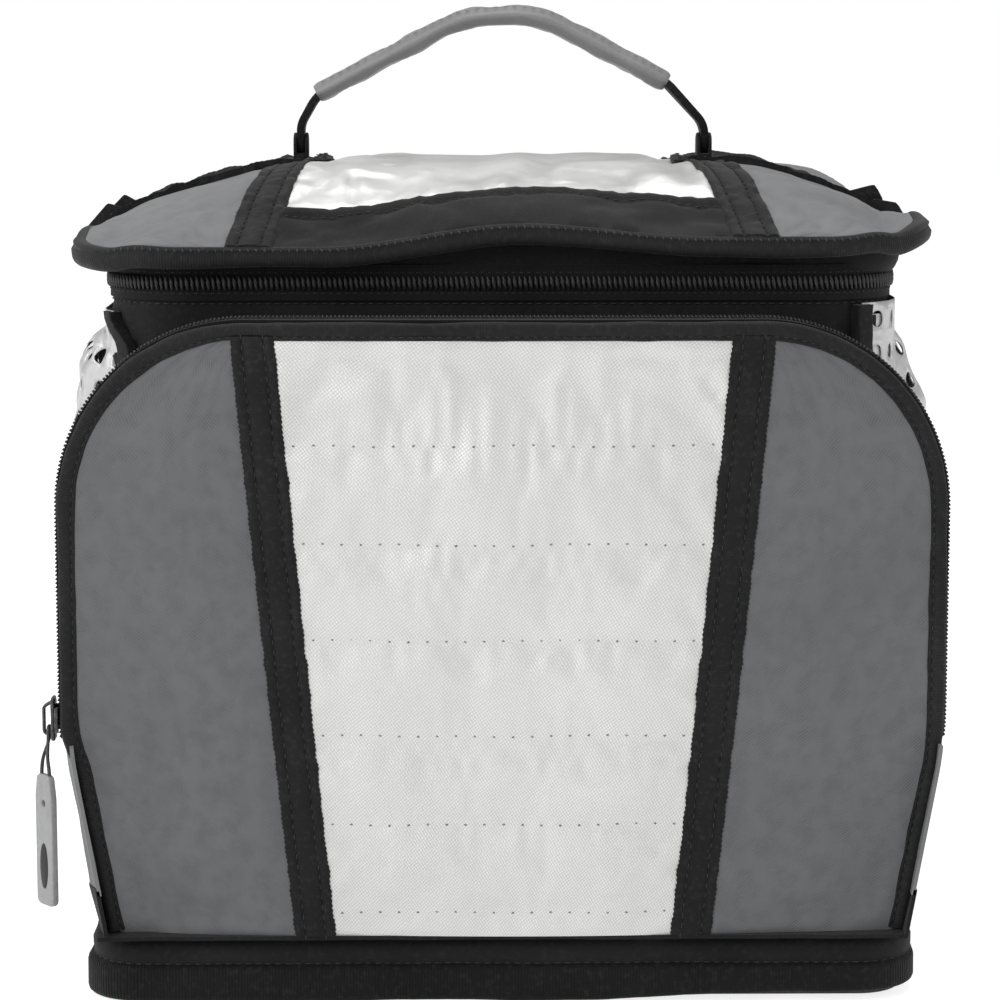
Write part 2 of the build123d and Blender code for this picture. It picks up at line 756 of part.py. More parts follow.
with BuildPart() as pocket_slider:
    with BuildSketch(Plane.YZ.offset(plate_out)):
        with Locations((slider_y, slider_z)):
            RectangleRounded(slider_w, slider_l, slider_round)
    extrude(amount=slider_t)
    with BuildSketch(Plane.YZ.offset(plate_out)):
        with Locations((slider_y + slider_w / 2 - lip_t / 2 - lip_in, slider_z)):
            Rectangle(lip_t, slider_l - lip_short)
    extrude(amount=tape_clear - plate_out)
    with BuildSketch(Plane.XZ.offset(-slider_y)):
        with BuildLine():
            top_post = slider_z + slider_l / 2 - post_in
            low_post = slider_z - slider_l / 2 + post_in
            top_left = (bridge_out, top_post - post_lean[0])
            low_left = (bridge_out, low_post + post_lean[1])
            FilletPolyline((plate_out, top_post), top_left, low_left, (plate_out, low_post), radius=bridge_round)
            Line((plate_out, low_post), (plate_out, top_post))
        make_face()
        with Locations(((bridge_out + bridge_t + plate_out) / 2, slider_z - bridge_slot_off)):
            SlotOverall(slider_l - lip_short, bridge_h - bridge_t, rotation=90, mode=Mode.SUBTRACT)
    extrude(amount=bridge_w / 2, both=True)
write(pocket_slider, "pocket_slider")

pull_x = (bridge_out + bridge_t + plate_out) / 2
pull_z = slider_z - slider_l / 2 + pull_seat
wire_low = pull_z - pull_l
with BuildPart() as pocket_pull:
    with BuildSketch(Plane.YZ.offset(pull_x)):
        with Locations((slider_y, (pull_z + wire_low) / 2)):
            wire_loop(pull_w, pull_l)
    extrude(amount=wire_d / 2 - wire_flat, both=True)
write(pocket_pull, "pocket_pull")

with BuildPart() as pocket_pull_tab:
    with BuildSketch(Plane.YZ.offset(pull_x)):
        with Locations((slider_y, wire_low + tab_grip - tab_l / 2)):
            RectangleRounded(tab_w, tab_l, tab_corner)
        with Locations((slider_y, wire_low - tab_hole_drop)):
            Circle(tab_hole_r, mode=Mode.SUBTRACT)
    extrude(amount=tab_t / 2, both=True)
    with BuildSketch(Plane.YZ.offset(pull_x)):
        with Locations((slider_y, (pull_z + wire_low) / 2)):
            wire_loop(pull_w, pull_l, fit_gap)
    extrude(amount=wire_d / 2 - wire_flat + fit_gap, both=True, mode=Mode.SUBTRACT)
write(pocket_pull_tab, "pocket_pull_tab")


# ---------------------------------------------------------------- lid zip slider and pull
lid_slider_x = -(body_w / 2 + tape_t + coil_out + seam_gap)
lid_plate_out = lid_slider_x - slider_t
lid_bridge_out = lid_plate_out - bridge_h
lid_tape_clear = -(body_w / 2 + tape_t + seam_gap)

with BuildPart() as lid_slider:
    with BuildSketch(Plane.YZ.offset(lid_plate_out)):
        with Locations((lid_slider_y, hinge_z)):
            RectangleRounded(slider_l, slider_w, slider_round)
    extrude(amount=slider_t)
    with BuildSketch(Plane.YZ.offset(lid_plate_out)):
        with Locations((lid_slider_y, hinge_z - slider_w / 2 + lip_t / 2 + lip_in)):
            Rectangle(slider_l - lip_short, lip_t)
    extrude(amount=lid_tape_clear - lid_plate_out)
    with BuildSketch(Plane.XY.offset(hinge_z)):
        with BuildLine():
            rear_post = lid_slider_y + slider_l / 2 - post_in
            front_post = lid_slider_y - slider_l / 2 + post_in
            rear_top = (lid_bridge_out, rear_post - post_lean[0])
            front_top = (lid_bridge_out, front_post + post_lean[1])
            bridge_side = [(lid_plate_out, rear_post), rear_top, front_top, (lid_plate_out, front_post)]
            FilletPolyline(*bridge_side, radius=bridge_round)
            Line((lid_plate_out, front_post), (lid_plate_out, rear_post))
        make_face()
        with Locations(((lid_bridge_out + bridge_t + lid_plate_out) / 2, lid_slider_y - bridge_slot_off)):
            SlotOverall(slider_l - lip_short, bridge_h - bridge_t, rotation=90, mode=Mode.SUBTRACT)
    extrude(amount=bridge_w / 2, both=True)
write(lid_slider, "lid_slider")

lid_pull_x = (lid_bridge_out + bridge_t + lid_plate_out) / 2
lid_pull_rear = lid_slider_y - slider_l / 2 + pull_seat
lid_wire_front = lid_pull_rear - pull_l
with BuildPart() as lid_pull:
    with BuildSketch(Plane.YZ.offset(lid_pull_x)):
        with Locations(Location(((lid_pull_rear + lid_wire_front) / 2, hinge_z), 90)):
            wire_loop(lid_pull_w, pull_l)
    extrude(amount=wire_d / 2 - wire_flat, both=True)
write(lid_pull, "lid_pull")

with BuildPart() as lid_pull_tab:
    with BuildSketch(Plane.YZ.offset(lid_pull_x)):
        with Locations((lid_wire_front + tab_grip - lid_tab_l / 2, hinge_z)):
            RectangleRounded(lid_tab_l, lid_tab_w, tab_corner)
        with Locations((lid_wire_front - tab_hole_drop, hinge_z)):
            Circle(tab_hole_r, mode=Mode.SUBTRACT)
    extrude(amount=tab_t / 2, both=True)
    with BuildSketch(Plane.YZ.offset(lid_pull_x)):
        with Locations(Location(((lid_pull_rear + lid_wire_front) / 2, hinge_z), 90)):
            wire_loop(lid_pull_w, pull_l, fit_gap)
    extrude(amount=wire_d / 2 - wire_flat + fit_gap, both=True, mode=Mode.SUBTRACT)
write(lid_pull_tab, "lid_pull_tab")
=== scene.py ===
"""Looks of a soft insulated carrier bag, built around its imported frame.

Lengths in the classes are millimetres, as in the part's source; meshes are written in metres.
X is to the right, the front faces -Y and Z is up.
"""

from __future__ import annotations

import json
import logging
import math
from dataclasses import dataclass, field
from enum import Enum
from typing import Any, Callable, Sequence

import bmesh
import bpy
import numpy as np
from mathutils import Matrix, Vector

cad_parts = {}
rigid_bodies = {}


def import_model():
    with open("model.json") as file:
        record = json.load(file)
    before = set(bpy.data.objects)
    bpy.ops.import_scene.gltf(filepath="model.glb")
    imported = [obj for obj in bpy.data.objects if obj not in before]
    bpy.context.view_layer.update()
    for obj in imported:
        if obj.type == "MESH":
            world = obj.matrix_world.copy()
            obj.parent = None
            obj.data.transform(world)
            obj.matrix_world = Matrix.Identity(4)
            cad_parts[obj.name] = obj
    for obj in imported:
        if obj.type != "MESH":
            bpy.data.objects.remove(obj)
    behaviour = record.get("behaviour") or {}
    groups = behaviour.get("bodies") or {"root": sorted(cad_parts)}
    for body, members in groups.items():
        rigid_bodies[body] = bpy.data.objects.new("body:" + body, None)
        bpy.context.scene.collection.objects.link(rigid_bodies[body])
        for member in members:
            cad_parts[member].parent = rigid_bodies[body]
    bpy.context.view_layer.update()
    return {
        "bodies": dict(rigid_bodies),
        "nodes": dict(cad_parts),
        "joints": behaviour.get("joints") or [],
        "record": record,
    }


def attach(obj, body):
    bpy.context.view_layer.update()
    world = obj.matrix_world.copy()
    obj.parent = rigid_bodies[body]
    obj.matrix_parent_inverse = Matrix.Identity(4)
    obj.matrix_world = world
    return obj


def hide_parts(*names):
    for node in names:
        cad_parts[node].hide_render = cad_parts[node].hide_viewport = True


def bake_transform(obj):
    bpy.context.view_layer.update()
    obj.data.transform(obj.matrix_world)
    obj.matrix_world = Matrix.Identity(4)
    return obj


log = logging.getLogger("carrier")
Array = np.ndarray
Socket = Any
Material = bpy.types.Material
Piece = bpy.types.Object
Lines = Sequence[tuple[Array, Array]]
MM = 0.001
SEED = 7
UP = np.array([0.0, 0.0, 1.0])
AHEAD = np.array([0.0, -1.0, 0.0])


# ---------------------------------------------------------------- lines and outlines
def unit(vectors: Array) -> Array:
    """Vectors scaled to length one."""
    return vectors / np.maximum(np.linalg.norm(vectors, axis=-1, keepdims=True), 1e-9)


def measured(line: Array) -> Array:
    """How far along a line each of its points lies."""
    return np.concatenate([[0], np.cumsum(np.linalg.norm(np.diff(line, axis=0), axis=1))])


def raised(flat: Array, height: float | Array) -> Array:
    """Points or directions in X and Y, with a height added."""
    return np.column_stack([flat, np.full(len(flat), height)])


def upright(line: Array, y: float = 0.0) -> Array:
    """Points or directions in X and Z, with a depth added."""
    return np.column_stack([line[:, 0], np.full(len(line), y), line[:, 1]])


def rounded_path(corners: Sequence[Sequence[float]], radii: Sequence[float], step: float,
                 closed: bool = False) -> Array:
    """A line through corners with round bends, in evenly spaced points.

    Args:
        corners: The corner points, in two dimensions.
        radii: The bend's radius at each corner.
        step: The spacing wanted between points.
        closed: Whether the last corner runs on to the first.

    Returns:
        The points; a closed line doesn't repeat its first point.
    """
    spots = [np.array(corner, float) for corner in corners]
    count = len(spots)
    fine: list[Array] = []
    for i, spot in enumerate(spots):
        into = unit(spot - spots[i - 1])
        away = unit(spots[(i + 1) % count] - spot)
        turn = math.acos(float(np.clip(into @ away, -1, 1)))
        if turn < 1e-3 or radii[i] <= 0 or (not closed and i in (0, count - 1)):
            fine.append(spot)
            continue
        reach = radii[i] * math.tan(turn / 2)
        centre = spot + unit(away - into) * math.hypot(radii[i], reach)
        spokes = max(int(math.degrees(turn) / 2), 2)
        start, end = spot - into * reach - centre, spot + away * reach - centre
        for k in range(spokes + 1):
            share = k / spokes * turn
            fine.append(centre + (start * math.sin(turn - share) + end * math.sin(share)) / math.sin(turn))
    if closed:
        fine.append(fine[0])
    line = np.array(fine)
    along = measured(line)
    at = np.linspace(0, along[-1], max(int(round(along[-1] / step)), 2) + 1)
    at = at[:-1] if closed else at
    return np.stack([np.interp(at, along, line[:, axis]) for axis in range(2)], axis=1)


def tangents(line: Array, closed: bool = False) -> Array:
    """The direction of a line at each of its points."""
    return unit(np.roll(line, -1, axis=0) - np.roll(line, 1, axis=0) if closed else np.gradient(line, axis=0))


def box_loop(width: float, depth: float, radius: float, middle: float, step: float) -> tuple[Array, Array]:
    """A rounded rectangle seen from above.

    Args:
        width: Its size along X.
        depth: Its size along Y.
        radius: Its corners' radius.
        middle: The Y of its middle.
        step: The spacing of its points.

    Returns:
        Its points from the middle of the rear, and its outward directions.
    """
    x, y = width / 2, depth / 2
    corners = [(0, middle + y), (-x, middle + y), (-x, middle - y), (x, middle - y), (x, middle + y)]
    line = rounded_path(corners, [0] + [radius] * 4, step, closed=True)
    along = tangents(line, closed=True)
    return line, np.stack([along[:, 1], -along[:, 0]], axis=1)


def smooth_step(values: Array, low: float, high: float) -> Array:
    """A smooth rise from 0 at low to 1 at high."""
    share = np.clip((values - low) / (high - low), 0, 1)
    return share * share * (3 - 2 * share)


def ruffle(places: Array, size: float, seed: int, layers: int = 3) -> Array:
    """Smooth seeded unevenness, from about -1 to 1.

    Args:
        places: Points in any number of dimensions.
        size: The length of the broadest swell.
        seed: What makes this pattern its own.
        layers: How many finer swells lie on the broadest.

    Returns:
        One value for each point.
    """
    rng = np.random.default_rng(SEED * 1000 + seed)
    total = np.zeros(places.shape[:-1])
    for layer in range(layers):
        for _ in range(5):
            way = unit(rng.normal(size=places.shape[-1]))
            pitch = size / 1.9**layer * rng.uniform(0.7, 1.4)
            total += np.sin(places @ way * (2 * math.pi / pitch) + rng.uniform(0, 6.3)) * 0.36 / 1.7**layer
    return total


def crumple(places: Array, size: float, seed: int) -> Array:
    """Sharp-ridged unevenness, as in crushed foil, from about -1 to 1.

    Args:
        places: Points in any number of dimensions.
        size: The length of the broadest fold.
        seed: What makes this pattern its own.

    Returns:
        One value for each point.
    """
    rng = np.random.default_rng(SEED * 2000 + seed)
    total = np.zeros(places.shape[:-1])
    for layer in range(3):
        for _ in range(4):
            way = unit(rng.normal(size=places.shape[-1]))
            pitch = size / 1.8**layer * rng.uniform(0.7, 1.4)
            bend = ruffle(places, size * 1.6, seed + 11 + layer, 1) * 0.8
            phase = places @ way / pitch + rng.uniform(0, 1) + bend
            total += (4 * np.abs(phase % 1 - 0.5) - 1) * 0.4 / 1.6**layer
    return total


def superellipse(width: float, height: float, powers: tuple[float, float], number: int) -> Array:
    """A ring between a rectangle and an ellipse.

    Args:
        width: Its first size.
        height: Its second size.
        powers: How round it is along both; 1 gives an ellipse.
        number: How many points it has.

    Returns:
        The ring about its middle.
    """
    angle = np.linspace(0, 2 * math.pi, number, endpoint=False)
    sizes = zip((np.cos(angle), np.sin(angle)), powers, (width, height))
    return np.stack([np.sign(wave) * np.abs(wave) ** power * size / 2 for wave, power, size in sizes], axis=1)


def round_section(width: float, height: float, radius: float, steps: int = 4) -> Array:
    """A rounded rectangle's ring about its middle.

    Args:
        width: Its first size.
        height: Its second size.
        radius: Its corners' radius.
        steps: How many points a corner has.

    Returns:
        The ring.
    """
    radius = min(radius, width / 2 - 1e-3, height / 2 - 1e-3)
    ring = []
    for k, (x, y) in enumerate(((1, 1), (-1, 1), (-1, -1), (1, -1))):
        for angle in np.linspace(k * math.pi / 2, (k + 1) * math.pi / 2, steps):
            ring.append((x * (width / 2 - radius) + radius * math.cos(angle),
                         y * (height / 2 - radius) + radius * math.sin(angle)))
    return np.array(ring)


# ---------------------------------------------------------------- meshes
def linked(name: str, data: Any) -> Piece:
    """An object of this data, linked to the scene.

    Args:
        name: The object's name.
        data: Its mesh, curve, light or camera.

    Returns:
        The object.
    """
    made = bpy.data.objects.new(name, data)
    bpy.context.scene.collection.objects.link(made)
    return made


def mesh_of(name: str, points: Array, edges: list[Any], faces: list[Any]) -> bpy.types.Mesh:
    """A mesh from points in millimetres.

    Args:
        name: The mesh's name.
        points: Its points.
        edges: Its loose edges.
        faces: Its faces.

    Returns:
        The mesh.
    """
    mesh = bpy.data.meshes.new(name)
    mesh.from_pydata((points * MM).tolist(), edges, faces)
    return mesh


def mend(mesh: bpy.types.Mesh) -> None:
    """Merges a mesh's doubled points and turns its faces outwards.

    Args:
        mesh: The mesh.
    """
    work = bmesh.new()
    work.from_mesh(mesh)
    bmesh.ops.remove_doubles(work, verts=work.verts, dist=1e-6)
    bmesh.ops.recalc_face_normals(work, faces=work.faces)
    work.to_mesh(mesh)
    work.free()


def as_object(name: str, mesh: bpy.types.Mesh, finish: Material, sharp: float = 45) -> Piece:
    """Links a mesh as a smooth-shaded object in one material.

    Args:
        name: The object's name.
        mesh: The mesh.
        finish: Its material.
        sharp: The angle in degrees past which an edge is drawn sharp.

    Returns:
        The object, at the origin.
    """
    mesh.materials.clear()
    mesh.materials.append(finish)
    mesh.polygons.foreach_set("use_smooth", [True] * len(mesh.polygons))
    mesh.set_sharp_from_angle(angle=math.radians(sharp))
    return linked(name, mesh)


def baked(source: Piece, name: str, finish: Material, sharp: float = 45) -> Piece:
    """Turns an object's evaluated result into a plain mesh object and removes the source.

    Args:
        source: The object with its modifiers.
        name: The new object's name.
        finish: Its material.
        sharp: The angle in degrees past which an edge is drawn sharp.

    Returns:
        The new object.
    """
    bpy.context.view_layer.update()
    graph = bpy.context.evaluated_depsgraph_get()
    mesh = bpy.data.meshes.new_from_object(source.evaluated_get(graph), depsgraph=graph)
    mesh.transform(source.matrix_world)
    mesh.name = name
    bpy.data.objects.remove(source)
    return as_object(name, mesh, finish, sharp)


def shift_points(piece: Piece, rule: Callable[[Array], Array]) -> None:
    """Moves a piece's points, in millimetres, by a rule.

    Args:
        piece: The piece.
        rule: Turns its points into new ones.
    """
    spots = np.empty(len(piece.data.vertices) * 3)
    piece.data.vertices.foreach_get("co", spots)
    piece.data.vertices.foreach_set("co", (rule(spots.reshape(-1, 3) / MM) * MM).ravel())


def joined(parts: Sequence[Piece]) -> Piece:
    """Joins finished meshes into the first of them.

    Args:
        parts: The meshes.

    Returns:
        The first of them.
    """
    shell = bmesh.new()
    for part in parts:
        shell.from_mesh(part.data)
    shell.to_mesh(parts[0].data)
    shell.free()
    for part in parts[1:]:
        bpy.data.objects.remove(part)
    return parts[0]


class Shell:
    """Points, faces and UVs of one piece, gathered grid by grid."""

    def __init__(self) -> None:
        """Starts with nothing gathered."""
        self.points: list[Array] = []
        self.faces: list[list[int]] = []
        self.uvs: list[list[tuple[float, float]]] = []
        self.count = 0

    def add_points(self, points: Array) -> Array:
        """Adds a grid of points and returns their numbers in the same grid.

        Args:
            points: The points.

        Returns:
            The numbers.
        """
        flat = points.reshape(-1, 3)
        numbers = np.arange(len(flat)).reshape(points.shape[:-1]) + self.count
        self.points.append(flat)
        self.count += len(flat)
        return numbers

    def add_faces(self, numbers: Array, u: Array, v: Array, wrap_u: bool = False, wrap_v: bool = False) -> None:
        """Adds quads over a grid of point numbers.

        Args:
            numbers: The grid of point numbers.
            u: The first UV measure of each row, with one more entry where the rows wrap.
            v: The second UV measure of each column, with one more entry where the columns wrap.
            wrap_u: Whether the last row joins the first.
            wrap_v: Whether the last column joins the first.
        """
        if wrap_u:
            numbers = np.vstack([numbers, numbers[:1]])
        if wrap_v:
            numbers = np.hstack([numbers, numbers[:, :1]])
        rows, columns = numbers.shape
        for i in range(rows - 1):
            for j in range(columns - 1):
                ring = [(i, j), (i + 1, j), (i + 1, j + 1), (i, j + 1)]
                self.faces.append([int(numbers[a, b]) for a, b in ring])
                self.uvs.append([(float(u[a]) * MM, float(v[b]) * MM) for a, b in ring])

    def add_ends(self, numbers: Array, outline: Array) -> None:
        """Closes the first and last ring of a grid with one face each.

        Args:
            numbers: The rings of point numbers.
            outline: The UV measures of a ring's points.
        """
        for ring in (numbers[0][::-1], numbers[-1]):
            self.faces.append([int(n) for n in ring])
            self.uvs.append([(float(x) * MM, float(y) * MM) for x, y in outline])

    def sheet(self, front: Array, back: Array, u: Array, v: Array, wrap: bool = False) -> Shell:
        """Adds a closed sheet between a front grid and a back grid.

        Args:
            front: The front face's points, rows by columns.
            back: The back face's points, in the same grid.
            u: The UV measure of each row.
            v: The UV measure of each column.
            wrap: Whether the last row joins the first.

        Returns:
            The shell itself.
        """
        f, b = self.add_points(front), self.add_points(back)
        self.add_faces(f, u, v, wrap)
        self.add_faces(b[:, ::-1], u, v[::-1], wrap)
        lip = np.array([0.0, 1.0])
        self.add_faces(np.stack([b[:, 0], f[:, 0]], 1), u, lip, wrap)
        self.add_faces(np.stack([f[:, -1], b[:, -1]], 1), u, lip, wrap)
        if not wrap:
            self.add_faces(np.stack([f[0], b[0]], 1), v, lip)
            self.add_faces(np.stack([b[-1], f[-1]], 1), v, lip)
        return self

    def sweep(self, path: Array, side: Array, up: Array, section: Array, closed: bool = False) -> Shell:
        """Adds a closed section carried along a path.

        Args:
            path: The path's points.
            side: The direction of the section's first measure, for the whole path or at each point.
            up: The direction of the section's second measure, likewise.
            section: The section's ring, likewise.
            closed: Whether the path ends where it starts.

        Returns:
            The shell itself.
        """
        side, up = (np.broadcast_to(way, path.shape) for way in (side, up))
        ring = section if section.ndim == 3 else np.broadcast_to(section, (len(path), *section.shape))
        numbers = self.add_points(path[:, None] + side[:, None] * ring[..., :1] + up[:, None] * ring[..., 1:])
        v = measured(np.concatenate([ring[0], ring[0][:1]]))
        u = measured(np.concatenate([path, path[:1]]) if closed else path)
        self.add_faces(numbers, u, v, closed, True)
        if not closed:
            self.add_ends(numbers, ring[0])
        return self

    def piece(self, name: str, finish: Material, sharp: float = 45) -> Piece:
        """Makes the gathered faces one object with outward normals.

        Args:
            name: The object's name.
            finish: Its material.
            sharp: The angle in degrees past which an edge is drawn sharp.

        Returns:
            The object, at the origin.
        """
        mesh = mesh_of(name, np.concatenate(self.points), [], self.faces)
        layer = mesh.uv_layers.new(name="UVMap")
        layer.data.foreach_set("uv", np.array([pair for face in self.uvs for pair in face], np.float32).ravel())
        mend(mesh)
        return as_object(name, mesh, finish, sharp)


# ---------------------------------------------------------------- nodes
class Recipe:
    """Nodes of one tree, set and joined in short calls."""

    def __init__(self, tree: bpy.types.NodeTree) -> None:
        """Starts on an empty node tree."""
        self.tree = tree
        tree.nodes.clear()

    @classmethod
    def group(cls, kind: str, name: str, inputs: dict[str, str]) -> tuple[Recipe, Any]:
        """Starts a node group of a kind with named inputs, and returns them too.

        Args:
            kind: The tree's type.
            name: The group's name.
            inputs: The type of each input by its name.

        Returns:
            The recipe and the group's inputs.
        """
        recipe = cls(bpy.data.node_groups.new(name, kind))
        for label, what in inputs.items():
            recipe.tree.interface.new_socket(label, in_out="INPUT", socket_type=f"NodeSocket{what}")
        return recipe, recipe.node("NodeGroupInput").outputs

    def results(self, kind: str = "Float", **values: Socket) -> bpy.types.NodeTree:
        """Names and joins the group's results and returns its tree.

        Args:
            kind: The type of all the results.
            values: The results by name.

        Returns:
            The group's tree.
        """
        for label in values:
            self.tree.interface.new_socket(label, in_out="OUTPUT", socket_type=f"NodeSocket{kind}")
        self.node("NodeGroupOutput", values)
        return self.tree

    def join(self, value: Any, socket: Socket) -> None:
        """Joins an input to a socket, or sets it to a value or a colour.

        Args:
            value: The socket, value or colour.
            socket: The input.
        """
        if isinstance(value, bpy.types.NodeSocket):
            self.tree.links.new(value, socket)
        else:
            socket.default_value = (*value, 1.0) if socket.type == "RGBA" else value

    def node(self, kind: str, inputs: dict[Any, Any] | None = None, **settings: Any) -> bpy.types.Node:
        """Adds a node.

        Args:
            kind: The node's type.
            inputs: Values or sockets for its inputs, by name or number.
            settings: The node's own settings.

        Returns:
            The node.
        """
        made = self.tree.nodes.new(kind)
        for key, value in settings.items():
            setattr(made, key, value)
        for key, value in (inputs or {}).items():
            self.join(value, made.inputs[key])
        return made

    def maths(self, operation: str, first: Any, second: Any = 0.0, third: Any = 0.0) -> Socket:
        """Adds a maths node and returns its result."""
        return self.node("ShaderNodeMath", {0: first, 1: second, 2: third}, operation=operation).outputs[0]

    def ratio(self, value: Any, size: Any) -> Socket:
        """Divides a value by a size and returns the result."""
        return self.maths("DIVIDE", value, size)

    def times(self, first: Any, second: Any) -> Socket:
        """Multiplies two values and returns the result."""
        return self.maths("MULTIPLY", first, second)

    def spread(self, value: Any, low: float, high: float, to_low: float = 0.0, to_high: float = 1.0) -> Socket:
        """Maps a range of a value to another and returns it."""
        ends = {"Value": value, 1: low, 2: high, 3: to_low, 4: to_high}
        return self.node("ShaderNodeMapRange", ends).outputs["Result"]

    def blend(self, share: Any, first: Any, second: Any) -> Socket:
        """Mixes two colours by a share and returns the result."""
        return self.node("ShaderNodeMix", {0: share, 6: first, 7: second}, data_type="RGBA").outputs[2]

    def noise(self, place: Socket, scale: Any, detail: float) -> bpy.types.Node:
        """Adds a noise texture."""
        return self.node("ShaderNodeTexNoise", {"Vector": place, "Scale": scale, "Detail": detail})


class RepeatTree:
    """A geometry node tree that repeats a small shape, run once for each piece."""

    name = ""
    inputs: dict[str, str] = {}

    def __init__(self) -> None:
        """Builds the tree with its named inputs."""
        recipe, come = Recipe.group("GeometryNodeTree", self.name, self.inputs)
        made = recipe.node("GeometryNodeSetMaterial", {0: self.repeated(recipe, come), "Material": come["Finish"]})
        self.tree = recipe.results("Geometry", Result=made.outputs[0])

    def repeated(self, recipe: Recipe, come: Any) -> Socket:
        """Builds the nodes between the inputs and the finish, and returns the realised shape."""
        raise NotImplementedError

    def run(self, source: Piece, name: str, values: dict[str, Any], sharp: float) -> Piece:
        """Runs the tree on an object.

        Args:
            source: The object that it starts from, which is used up.
            name: The finished object's name.
            values: The inputs by name.
            sharp: The angle in degrees past which an edge is drawn sharp.

        Returns:
            The result as one plain mesh.
        """
        modifier = source.modifiers.new("repeat", "NODES")
        modifier.node_group = self.tree
        for item in self.tree.interface.items_tree:
            if item.in_out == "INPUT" and item.name in values:
                modifier[item.identifier] = values[item.name]
        return baked(source, name, values["Finish"], sharp)


class RowTree(RepeatTree):
    """Sets one small rounded piece after another along a line."""

    name = "sewn row"
    inputs = {"Line": "Geometry", "Pitch": "Float", "Size": "Vector", "Slant": "Float", "Unevenness": "Float",
              "Finish": "Material"}

    def repeated(self, recipe: Recipe, come: Any) -> Socket:
        """Builds the nodes between the inputs and the finish, and returns the realised row.

        Args:
            recipe: The tree's recipe.
            come: Its inputs.

        Returns:
            The realised row.
        """
        node = recipe.node
        curve = node("GeometryNodeMeshToCurve", {0: come["Line"]})
        spaced = node("GeometryNodeResampleCurve", {"Curve": curve.outputs[0], "Length": come["Pitch"]}, mode="LENGTH")
        outward = node("GeometryNodeInputNamedAttribute", {"Name": "outward"}, data_type="FLOAT_VECTOR")
        ways = {"Primary Axis": outward.outputs["Attribute"],
                "Secondary Axis": node("GeometryNodeInputTangent").outputs["Tangent"]}
        axes = node("FunctionNodeAxesToRotation", ways, primary_axis="Z", secondary_axis="X")
        wobble = node("FunctionNodeRandomValue", {2: -1.0, 3: 1.0, "Seed": SEED}, data_type="FLOAT")
        angle = recipe.maths("MULTIPLY_ADD", wobble.outputs[1], come["Unevenness"], come["Slant"])
        lean = node("FunctionNodeAxisAngleToRotation", {"Axis": (0, 0, 1), "Angle": angle})
        turns = {"Rotation": axes.outputs[0], "Rotate By": lean.outputs[0]}
        turned = node("FunctionNodeRotateRotation", turns, rotation_space="LOCAL")
        block = node("GeometryNodeMeshCube", {"Size": come["Size"]})
        rounded = node("GeometryNodeSubdivisionSurface", {"Mesh": block.outputs["Mesh"], "Level": 1})
        placed = node("GeometryNodeInstanceOnPoints", {"Points": spaced.outputs[0], "Instance": rounded.outputs[0],
                                                       "Rotation": turned.outputs[0]})
        return node("GeometryNodeRealizeInstances", {0: placed.outputs[0]}).outputs[0]

    def along(self, name: str, lines: Lines, pitch: float, size: Sequence[float], finish: Material,
              slant: float = 0, unevenness: float = 0, closed: bool = False) -> Piece:
        """Sets pieces along one or more lines.

        Args:
            name: The finished object's name.
            lines: Each line's points and its outward directions.
            pitch: The spacing from piece to piece.
            size: Each piece's size along the line, across it and outward.
            finish: The material.
            slant: The turn in degrees about the outward direction.
            unevenness: The most that the turn varies, in degrees.
            closed: Whether the lines end where they start.

        Returns:
            The row as one plain mesh.
        """
        points, edges, outs = [], [], []
        for line, out in lines:
            out = np.broadcast_to(out, line.shape)
            if closed:
                line, out = np.vstack([line, line[:1]]), np.vstack([out, out[:1]])
            first = sum(len(part) for part in points)
            edges += [(first + k, first + k + 1) for k in range(len(line) - 1)]
            points.append(line)
            outs.append(out)
        mesh = mesh_of(name, np.concatenate(points), edges, [])
        outward = mesh.attributes.new("outward", "FLOAT_VECTOR", "POINT")
        outward.data.foreach_set("vector", np.concatenate(outs).astype(np.float32).ravel())
        values = {"Pitch": pitch * MM, "Size": [length * MM for length in size], "Slant": math.radians(slant),
                  "Unevenness": math.radians(unevenness), "Finish": finish}
        return self.run(linked(name + "_line", mesh), name, values, sharp=80)


